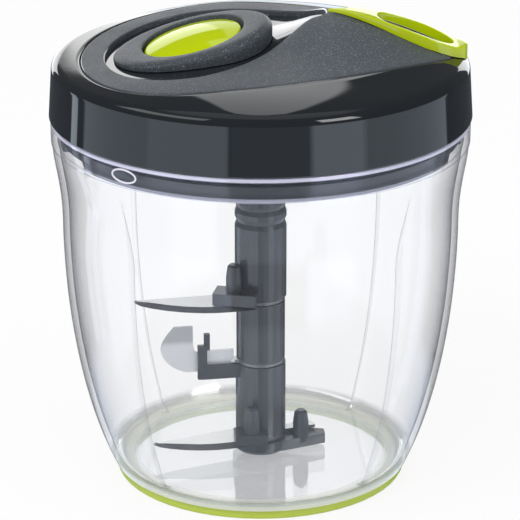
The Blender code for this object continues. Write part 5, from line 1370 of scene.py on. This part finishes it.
    def hub_ring(self) -> None:
        """Build the rounded hub with its oval bore and the cup below it."""
        d, h = self.dome, self.hub
        fan = Fan(h.x, half_steps=64)
        foot_ring = fan.ellipse(h.radius)
        foot = lambda x, y: d.floor(x, y) + d.gap
        rise = lambda share: lambda x, y: foot(x, y) + (h.top(x, y) - foot(x, y)) * share
        rings = [raised(foot_ring, foot), raised(foot_ring, rise(h.foot_share))]
        for turn in range(10):
            angle = QUARTER * turn / 9
            width = h.radius * (h.crest_share + (1.0 - h.crest_share) * math.cos(angle))
            height = rise(h.wall_share + (1.0 - h.wall_share) * math.sin(angle))
            rings.append(raised(fan.ellipse(width), height))
        bore = fan.ellipse(h.bore, h.stretch)
        lip = offset(bore, h.edge_round)
        crest = fan.ellipse(h.radius * h.crest_share)
        rings += [raised(between(crest, lip, share), rise(1.0)) for share in (0.35, 0.7)]
        rings += edge_rings(bore, h.top, h.edge_round, 1.0, falling=True)
        pin = h.pin_radius + d.gap
        rings += [raised(bore, level(h.cup_bottom_z + h.cup_wall))]
        rings += [raised(fan.ellipse(pin), level(h.cup_bottom_z + h.cup_wall))]
        rings += [raised(fan.ellipse(pin), level(h.cup_bottom_z))]
        cup = fan.ellipse(h.bore + h.cup_wall, h.stretch)
        rings += [raised(cup, level(h.cup_bottom_z)), raised(cup, foot)]
        made = skin("hub_satin", rings, closed=True)
        self.settle(made, "lid", Finishes.hub, "button_hub")

    def button(self) -> None:
        """Build the oval stop button with its crown and its pin."""
        h = self.hub
        fan = Fan(h.x, half_steps=64)
        edge = lambda x, y: h.top(x, y) - h.button_below
        soft, tall = h.button_round, h.button_round * h.round_stretch
        ring = fan.ellipse(h.button_radius, h.stretch)
        pin_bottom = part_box("stop_button")[0].z
        pin = fan.ellipse(h.pin_radius)
        rings = [raised(pin, level(pin_bottom)), raised(pin, level(h.underside_z))]
        rings += [raised(ring, level(h.underside_z)), raised(ring, lowered(edge, tall))]
        for turn in range(1, 7):
            angle = QUARTER * turn / 6
            plan = offset(ring, -soft * (1 - math.cos(angle)))
            rings.append(raised(plan, lowered(edge, tall * (1 - math.sin(angle)))))
        width = h.button_radius - soft
        for share in (0.97, 0.93, 0.86, 0.76, 0.64, 0.50, 0.36, 0.22, 0.09):
            lift = h.crown * (1 - share ** 2)
            rings.append(raised(fan.ellipse(width * share, h.stretch), lowered(edge, -lift)))
        made = skin("button_lime", rings)
        self.settle(made, "button", Finishes.press, "stop_button")

    def coil(self) -> None:
        """Build the button's coil spring."""
        h = self.hub
        low, high = (corner.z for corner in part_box("button_spring"))
        steps = h.coil_turns * 32
        points = []
        for index in range(steps + 1):
            angle = FULL_TURN * h.coil_turns * index / steps
            height = low + h.coil_wire + (high - low - 2 * h.coil_wire) * index / steps
            points.append(polar(h.coil_radius, angle, height, h.x))
        made = tube("button_coil", points, h.coil_wire, 12)
        self.settle(made, "lid", Finishes.spring, "button_spring")
        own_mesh(made)


class Handle(Piece):
    """Teardrop pull handle with its finger gap, the stem below it and the cord."""
    dome = Dome()
    sizes = HandleSizes()
    reel = ReelSizes()

    def __init__(self, finishes: Finishes) -> None:
        """Measure how high the handle's solid reaches."""
        super().__init__(finishes)
        self.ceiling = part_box("pull_handle")[1].z

    def under(self, x: float, y: float) -> float:
        """Height of the handle's underside."""
        return self.dome.height(max(x, self.dome.peak_x), y) + self.dome.gap

    def top(self, x: float, y: float) -> float:
        """Height of the handle's upper side."""
        s = self.sizes
        run = max(0.0, min(1.0, (x - s.tip_x) / (s.widest_x - s.tip_x)))
        near = min(x, s.level_x)
        middle = (self.under(near, 0.0) + self.under(near, y)) / 2
        height = middle + s.root_thickness + (s.thickness - s.root_thickness) * run
        return min(height, self.ceiling)

    def build(self) -> None:
        """Build the handle, its stem and the cord that runs to it."""
        s = self.sizes
        fan = Fan((s.gap_left + s.gap_right) / 2, half_steps=120)
        outer = fan.ring(s.in_outline)
        gap = fan.ring(s.in_gap)
        edge = s.edge_round
        rings = [raised(outer, self.under)]
        rings += edge_rings(outer, self.top, edge, -1.0)
        inner_top = offset(gap, edge)
        outer_top = offset(outer, -edge)
        rings += spread(outer_top, inner_top, self.top, 6)
        rings += edge_rings(gap, self.top, edge, 1.0, falling=True)
        rings += [raised(gap, self.under)]
        rings += spread(gap, outer, self.under, 6)
        made = skin("handle_lime", rings, closed=True)
        self.settle(made, "handle", Finishes.lime, "pull_handle")
        self.stem()
        self.cord()
        self.dress(Finishes.steel, ["cord_bead", "cord_eyelet"])

    def stem(self) -> None:
        """Build the stem below the handle's tongue, with its bore and the bead's pocket."""
        s = self.sizes
        left, right = s.stem_left, s.stem_left + s.stem_length
        middle = (left + right) / 2
        corner = s.stem_round
        corners = [(middle, s.stem_half, 0.0), (left, s.stem_half, corner), (left, -s.stem_half, corner),
                   (right, -s.stem_half, corner), (right, s.stem_half, corner), (middle, s.stem_half, 0.0)]
        top = self.under(left, 0.0) + self.dome.gap
        made = prism("handle_stem", rounded(corners, 5)[:-1], s.stem_bottom, top)
        for name, radius, start, end in (("stem_bore", s.cord_radius, left - s.arm, s.pocket_left + s.arm),
                                         ("bead_pocket", s.bead_radius, s.pocket_left, right + s.arm)):
            cut(made, drill(name, radius + s.cord_gap, start, end, s.cord_z))
        self.settle(made, "handle", Finishes.lime)

    def route(self) -> list[Vector]:
        """Return the cord's way from the reel's winding to the bead, the same as its solid's."""
        s, r = self.sizes, self.reel
        start = r.winding_z
        side = -r.winding_radius - 2 * s.cord_radius - r.gap
        round_reel = r.flange_radius + 2 * s.cord_radius + r.gap
        eyelet = s.well_left - s.well_wall - r.eyelet_flange
        rise = s.cord_z - start
        clear = r.flange_radius * 0.6
        return [Vector((2 * r.gap, side, start)), Vector((clear / 2, side, start)),
                Vector((clear, side, start)),
                Vector((round_reel * 0.75, -round_reel * 0.66, start + rise * 0.14)),
                Vector((eyelet * 0.92, side * 0.46, start + rise * 0.46)),
                Vector((eyelet * 0.85, side * 0.17, start + rise * 0.80)),
                Vector((eyelet * 0.84, side * 0.03, start + rise * 0.97)),
                Vector((eyelet * 0.92, 0.0, s.cord_z)), Vector((eyelet, 0.0, s.cord_z)),
                Vector(((eyelet + s.pocket_left) / 2, 0.0, s.cord_z)),
                Vector((s.pocket_left, 0.0, s.cord_z))]

    def cord(self) -> None:
        """Build the pull cord's short free length, from the reel's winding to the bead's pocket."""
        s = self.sizes
        points = smooth_route(self.route(), 10)
        free = [point for point in points if point.x < s.well_left or point.y < -WELD]
        steps = 40
        free += [Vector((s.well_left + (s.stem_left - s.well_left) * step / steps, 0.0, s.cord_z))
                 for step in range(steps + 1)]
        free.append(Vector((s.pocket_left, 0.0, s.cord_z)))
        made = tube("pull_cord_braid", free, s.cord_radius, 20)
        self.finishes.put(made, Finishes.cord)
        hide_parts("pull_cord")
        log.info("%s: %d faces from lid to handle", made.name, len(made.data.polygons))
        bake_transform(made)


class Works(Piece):
    """The CAD nodes inside the lid and the blade stack, each with its finish."""
    reel = ReelSizes()

    def build(self) -> None:
        """Build the soft pieces and dress every node that stays."""
        self.winding()
        self.seal()
        self.skirt_refraction_band()
        self.dress(Finishes.base, ["lid_base", "spring_cup"], 0.0002)
        self.dress(Finishes.bush, ["neck_bush"])
        self.dress(Finishes.lime, ["cord_reel"])
        self.dress(Finishes.spring, ["recoil_spring"])
        self.dress(Finishes.steel, ["reel_axle", "base_screw_1", "base_screw_2", "base_screw_3"])
        self.dress(Finishes.shell, ["screw_post_1", "screw_post_2", "screw_post_3"])
        self.dress(Finishes.shaft, ["core_rod"])
        self.dress(Finishes.shaft, ["base_hub", "lower_segment", "middle_segment", "upper_segment"], 0.0004)
        self.dress(Finishes.blade, ["upper_blade", "lower_blade"], 0.00012)
        self.dress(Finishes.leaf, ["middle_blade"], 0.00012)

    def winding(self) -> None:
        """Build the flat spiral of cord on the reel, with the same turns as its solid."""
        r = self.reel
        per_turn = 72
        count = round(r.winding_turns * per_turn)
        points = []
        for index in range(count + 1):
            back = (count - index) / per_turn
            radius = r.winding_radius - r.winding_pitch * back
            points.append(polar(radius, -QUARTER - FULL_TURN * back, r.winding_z))
        made = tube("winding_braid", points, HandleSizes.cord_radius)
        self.settle(made, "reel", Finishes.cord, "cord_winding")

    def skirt_refraction_band(self) -> None:
        """Build a band of the skirt's own dark plastic, set out where the rim's refraction shows the skirt,
        and cut back at the four bayonet notches.
        """
        # The skirt's real dark plastic, moved out to the rim, where the rim's refraction would show the
        # skirt.
        r = self.reel
        count = 240
        rings: list[list[Vector]] = [[], [], [], []]
        for index in range(count):
            degrees = 360.0 * index / count
            near = min(abs(degrees - notch) for notch in r.notches)
            share = min(1.0, max(0.0, (r.notch_half - near) / r.notch_edge))
            low = r.band_bottom + r.notch_height * share
            corners = ((r.band_inner, low), (r.band_outer, low), (r.band_outer, r.band_top),
                       (r.band_inner, r.band_top))
            for ring, (radius, height) in zip(rings, corners):
                ring.append(polar(radius, math.radians(degrees), height))
        self.settle(skin("skirt_refraction_band", rings, closed=True), "lid", Finishes.base)

    def seal(self) -> None:
        """Build the soft seal with its two lips."""
        r = self.reel
        low, high = r.seal_z - r.seal_height / 2, r.seal_z + r.seal_height / 2
        outer, soft = r.seal_inner + r.seal_radial, r.seal_radial / 5
        quarter = r.seal_height / 4
        profile = rounded([(r.seal_inner, low, 0.0), (outer, low + quarter * 0.8, soft),
                           (outer, r.seal_z - quarter * 0.4, soft),
                           (r.seal_inner + r.seal_radial / 2, r.seal_z, soft),
                           (outer, high - quarter, soft), (r.seal_inner, high, 0.0)], 4)
        self.settle(revolve("seal_soft", profile, 128), "lid", Finishes.seal, "lid_seal")


# Studio

@dataclass(frozen=True)
class CameraPlace:
    """Where the photograph's camera stands.

    Attributes:
        distance: How far it stands in front of the chopper's axis.
        height: How high it stands above the foot.
        tilt: How far it looks down from level.
        lens: Focal length in millimetres.
        shift_x: Sideways shift of the picture.
        sensor: Width of the sensor in millimetres.
        clip: Nearest and furthest distance that it sees.
    """
    distance: float = 0.900
    height: float = 0.4004
    tilt: float = math.radians(20.15)
    lens: float = 205.75
    shift_x: float = -0.0012
    sensor: float = 36.0
    clip: tuple[float, float] = (0.01, 50.0)


@dataclass(frozen=True)
class Softbox:
    """A lamp that faces the chopper.

    Attributes:
        name: Name of the lamp.
        azimuth: Direction of the lamp in degrees, from -Y towards +X.
        elevation: Height of the lamp above the horizon in degrees.
        distance: Distance from the chopper's middle.
        width: Width of the box.
        height: Height of the box.
        power: Power in watts.
    """
    name: str
    azimuth: float
    elevation: float
    distance: float
    width: float
    height: float
    power: float


@dataclass(frozen=True)
class Panel:
    """A bright panel of the studio, as the reflections show it.

    Attributes:
        left: Its left edge as seen from the chopper, in degrees from -Y towards +X.
        right: Its right edge, or None for a panel that stands to both sides of +Y.
        low: Its lower edge in degrees above the horizon.
        high: Its upper edge.
        light: How bright it is, where 1 is white.
        soft: Width of its edges in degrees.
    """
    left: float
    right: float | None
    low: float
    high: float
    light: float
    soft: float = 0.8

    def build(self, side: Value, lift: Value, away: Value) -> Value:
        """Return the panel's light in every direction.

        Args:
            side: Direction round the chopper.
            lift: Direction above the horizon.
            away: Direction round the chopper without its sign.

        Returns:
            Its light.
        """
        across = away if self.right is None else side
        shape = across.rise(self.left - self.soft / 2, self.left + self.soft / 2)
        if self.right is not None:
            shape = shape * across.fall(self.right - self.soft / 2, self.right + self.soft / 2)
        shape = shape * lift.rise(self.low - self.soft / 2, self.low + self.soft / 2)
        return shape * lift.rise(self.high - self.soft / 2, self.high + self.soft / 2, self.light, 0.0)


class Studio:
    """Camera, floor, surroundings and lamps."""
    dim = 0.09
    soft_light = 0.80
    low_tint, low_range = (0.86, 0.97, 1.10), (-6.0, -1.0)
    floor_size, floor_drop, floor_drift = 6.0, 0.00005, 0.4
    floor_low, floor_high, floor_glow = 0.86, 0.90, 0.86
    panels = (
        Panel(152.0, None, -9.0, 16.0, 1.4),
        Panel(152.0, 175.5, -9.0, 16.0, 1.2),
        Panel(-175.5, -152.0, -9.0, 16.0, 1.2),
        Panel(176.0, None, 16.0, 28.0, 1.1, 1.5),
        Panel(170.5, None, 28.0, 80.0, 1.6, 1.2),
        Panel(34.0, 57.0, 22.0, 40.0, 7.0, 3.0),
        Panel(-98.0, -34.0, 36.0, 50.0, 2.2, 4.0),
        Panel(-122.5, -116.0, -28.0, -2.0, 1.9),
        Panel(-109.0, -62.0, -28.0, -2.0, 1.0, 3.0),
        Panel(-62.0, -17.0, -28.0, -2.0, 1.35, 3.0),
        Panel(-15.5, 27.0, -28.0, -2.0, 0.25, 1.0),
        Panel(27.0, 57.0, -28.0, -2.0, 1.8, 4.0),
        Panel(57.0, 118.5, -28.0, -2.0, 0.95, 2.0),
        Panel(-181.0, 181.0, -91.0, -28.0, 0.85, 2.0),
        Panel(-160.0, 160.0, 62.0, 91.0, 0.45, 8.0),
    )
    camera_place = CameraPlace()
    target = Vector((0.0, 0.0, 0.075))
    boxes = (
        Softbox("Key box", -40.0, 52.0, 1.3, 0.9, 0.6, 7.0),
        Softbox("Fill box", 55.0, 35.0, 1.5, 0.8, 0.8, 3.0),
    )

    def build(self) -> None:
        """Build the studio."""
        self.camera()
        self.floor()
        self.world()
        for box in self.boxes:
            self.lamp(box)
        bpy.context.scene.view_settings.view_transform = "Standard"

    def camera(self) -> None:
        """Place the camera at the photograph's viewing angle."""
        place = self.camera_place
        data = bpy.data.cameras.new("Camera")
        data.lens = place.lens
        data.sensor_width = place.sensor
        data.shift_x = place.shift_x
        data.clip_start, data.clip_end = place.clip
        made = bpy.data.objects.new("Camera", data)
        made.location = (0.0, -place.distance, place.height)
        made.rotation_euler = (QUARTER - place.tilt, 0.0, 0.0)
        bpy.context.scene.collection.objects.link(made)
        bpy.context.scene.camera = made

    def floor(self) -> None:
        """Build the pale floor, which keeps the chopper's shadow."""
        mesh = bmesh.new()
        bmesh.ops.create_grid(mesh, x_segments=8, y_segments=8, size=self.floor_size)
        made = finish_mesh("floor", mesh)
        made.location.z = -self.floor_drop
        look = bpy.data.materials.new("Pale floor")
        graph = Graph(look)
        drift = graph.noise(self.floor_drift, 2.0)
        low, high = (rgba((light,) * 3) for light in (self.floor_low, self.floor_high))
        plain = graph.node("ShaderNodeBsdfDiffuse", inputs={"Color": graph.mix(drift, low, high)})
        glow = graph.node("ShaderNodeEmission", inputs={"Color": WHITE, "Strength": 1.0})
        lift = graph.node("ShaderNodeLightPath", output="Is Camera Ray") * self.floor_glow
        both = graph.node("ShaderNodeMixShader", inputs={0: lift, 1: plain, 2: glow})
        graph.node("ShaderNodeOutputMaterial", inputs={"Surface": both})
        made.data.materials.append(look)
        made.visible_glossy = False

    def world(self) -> None:
        """Build the surroundings: white for the camera, panels of a studio in reflections."""
        scene = bpy.context.scene
        scene.world = scene.world or bpy.data.worlds.new("World")
        graph = Graph(scene.world)
        x, y, z = graph.axes(graph.place("Generated"))
        side = x.maths("ARCTAN2", y * -1.0) * IN_DEGREES
        lift = z.maths("ARCSINE") * IN_DEGREES
        away = side.maths("ABSOLUTE")
        glossy = Value.total(panel.build(side, lift, away) for panel in self.panels) + self.dim
        path = graph.node("ShaderNodeLightPath").socket.node
        seen = Value(graph, path.outputs["Is Camera Ray"])
        clear = Value(graph, path.outputs["Is Transmission Ray"])
        shiny = Value(graph, path.outputs["Is Glossy Ray"])
        plain = seen.maths("MAXIMUM", clear)
        strength = plain + (1.0 - plain) * (shiny * glossy + (1.0 - shiny) * self.soft_light)
        tint = graph.mix(shiny * lift.fall(*self.low_range), WHITE, rgba(self.low_tint))
        back = graph.node("ShaderNodeBackground", inputs={"Color": tint, "Strength": strength})
        graph.node("ShaderNodeOutputWorld", inputs={"Surface": back})

    def lamp(self, box: Softbox) -> None:
        """Place one soft lamp.

        Args:
            box: Where it stands and how strong it is.
        """
        data = bpy.data.lights.new(box.name, "AREA")
        data.shape = "RECTANGLE"
        data.size, data.size_y = box.width, box.height
        data.energy = box.power
        azimuth, elevation = math.radians(box.azimuth), math.radians(box.elevation)
        back = Vector((math.sin(azimuth) * math.cos(elevation), -math.cos(azimuth) * math.cos(elevation),
                       math.sin(elevation)))
        made = bpy.data.objects.new(box.name, data)
        made.location = self.target + back * box.distance
        made.rotation_euler = back.to_track_quat("Z", "Y").to_euler()
        made.visible_glossy = False
        bpy.context.scene.collection.objects.link(made)


def main() -> None:
    """Dress the chopper and build its studio."""
    logging.basicConfig(level=logging.INFO, format="%(name)s: %(message)s")
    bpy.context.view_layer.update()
    Studio().build()
    finishes = Finishes()
    for part in (Bowl, LidTop, Handle, Works):
        part(finishes).build()


if __name__ == "__main__":
    main()
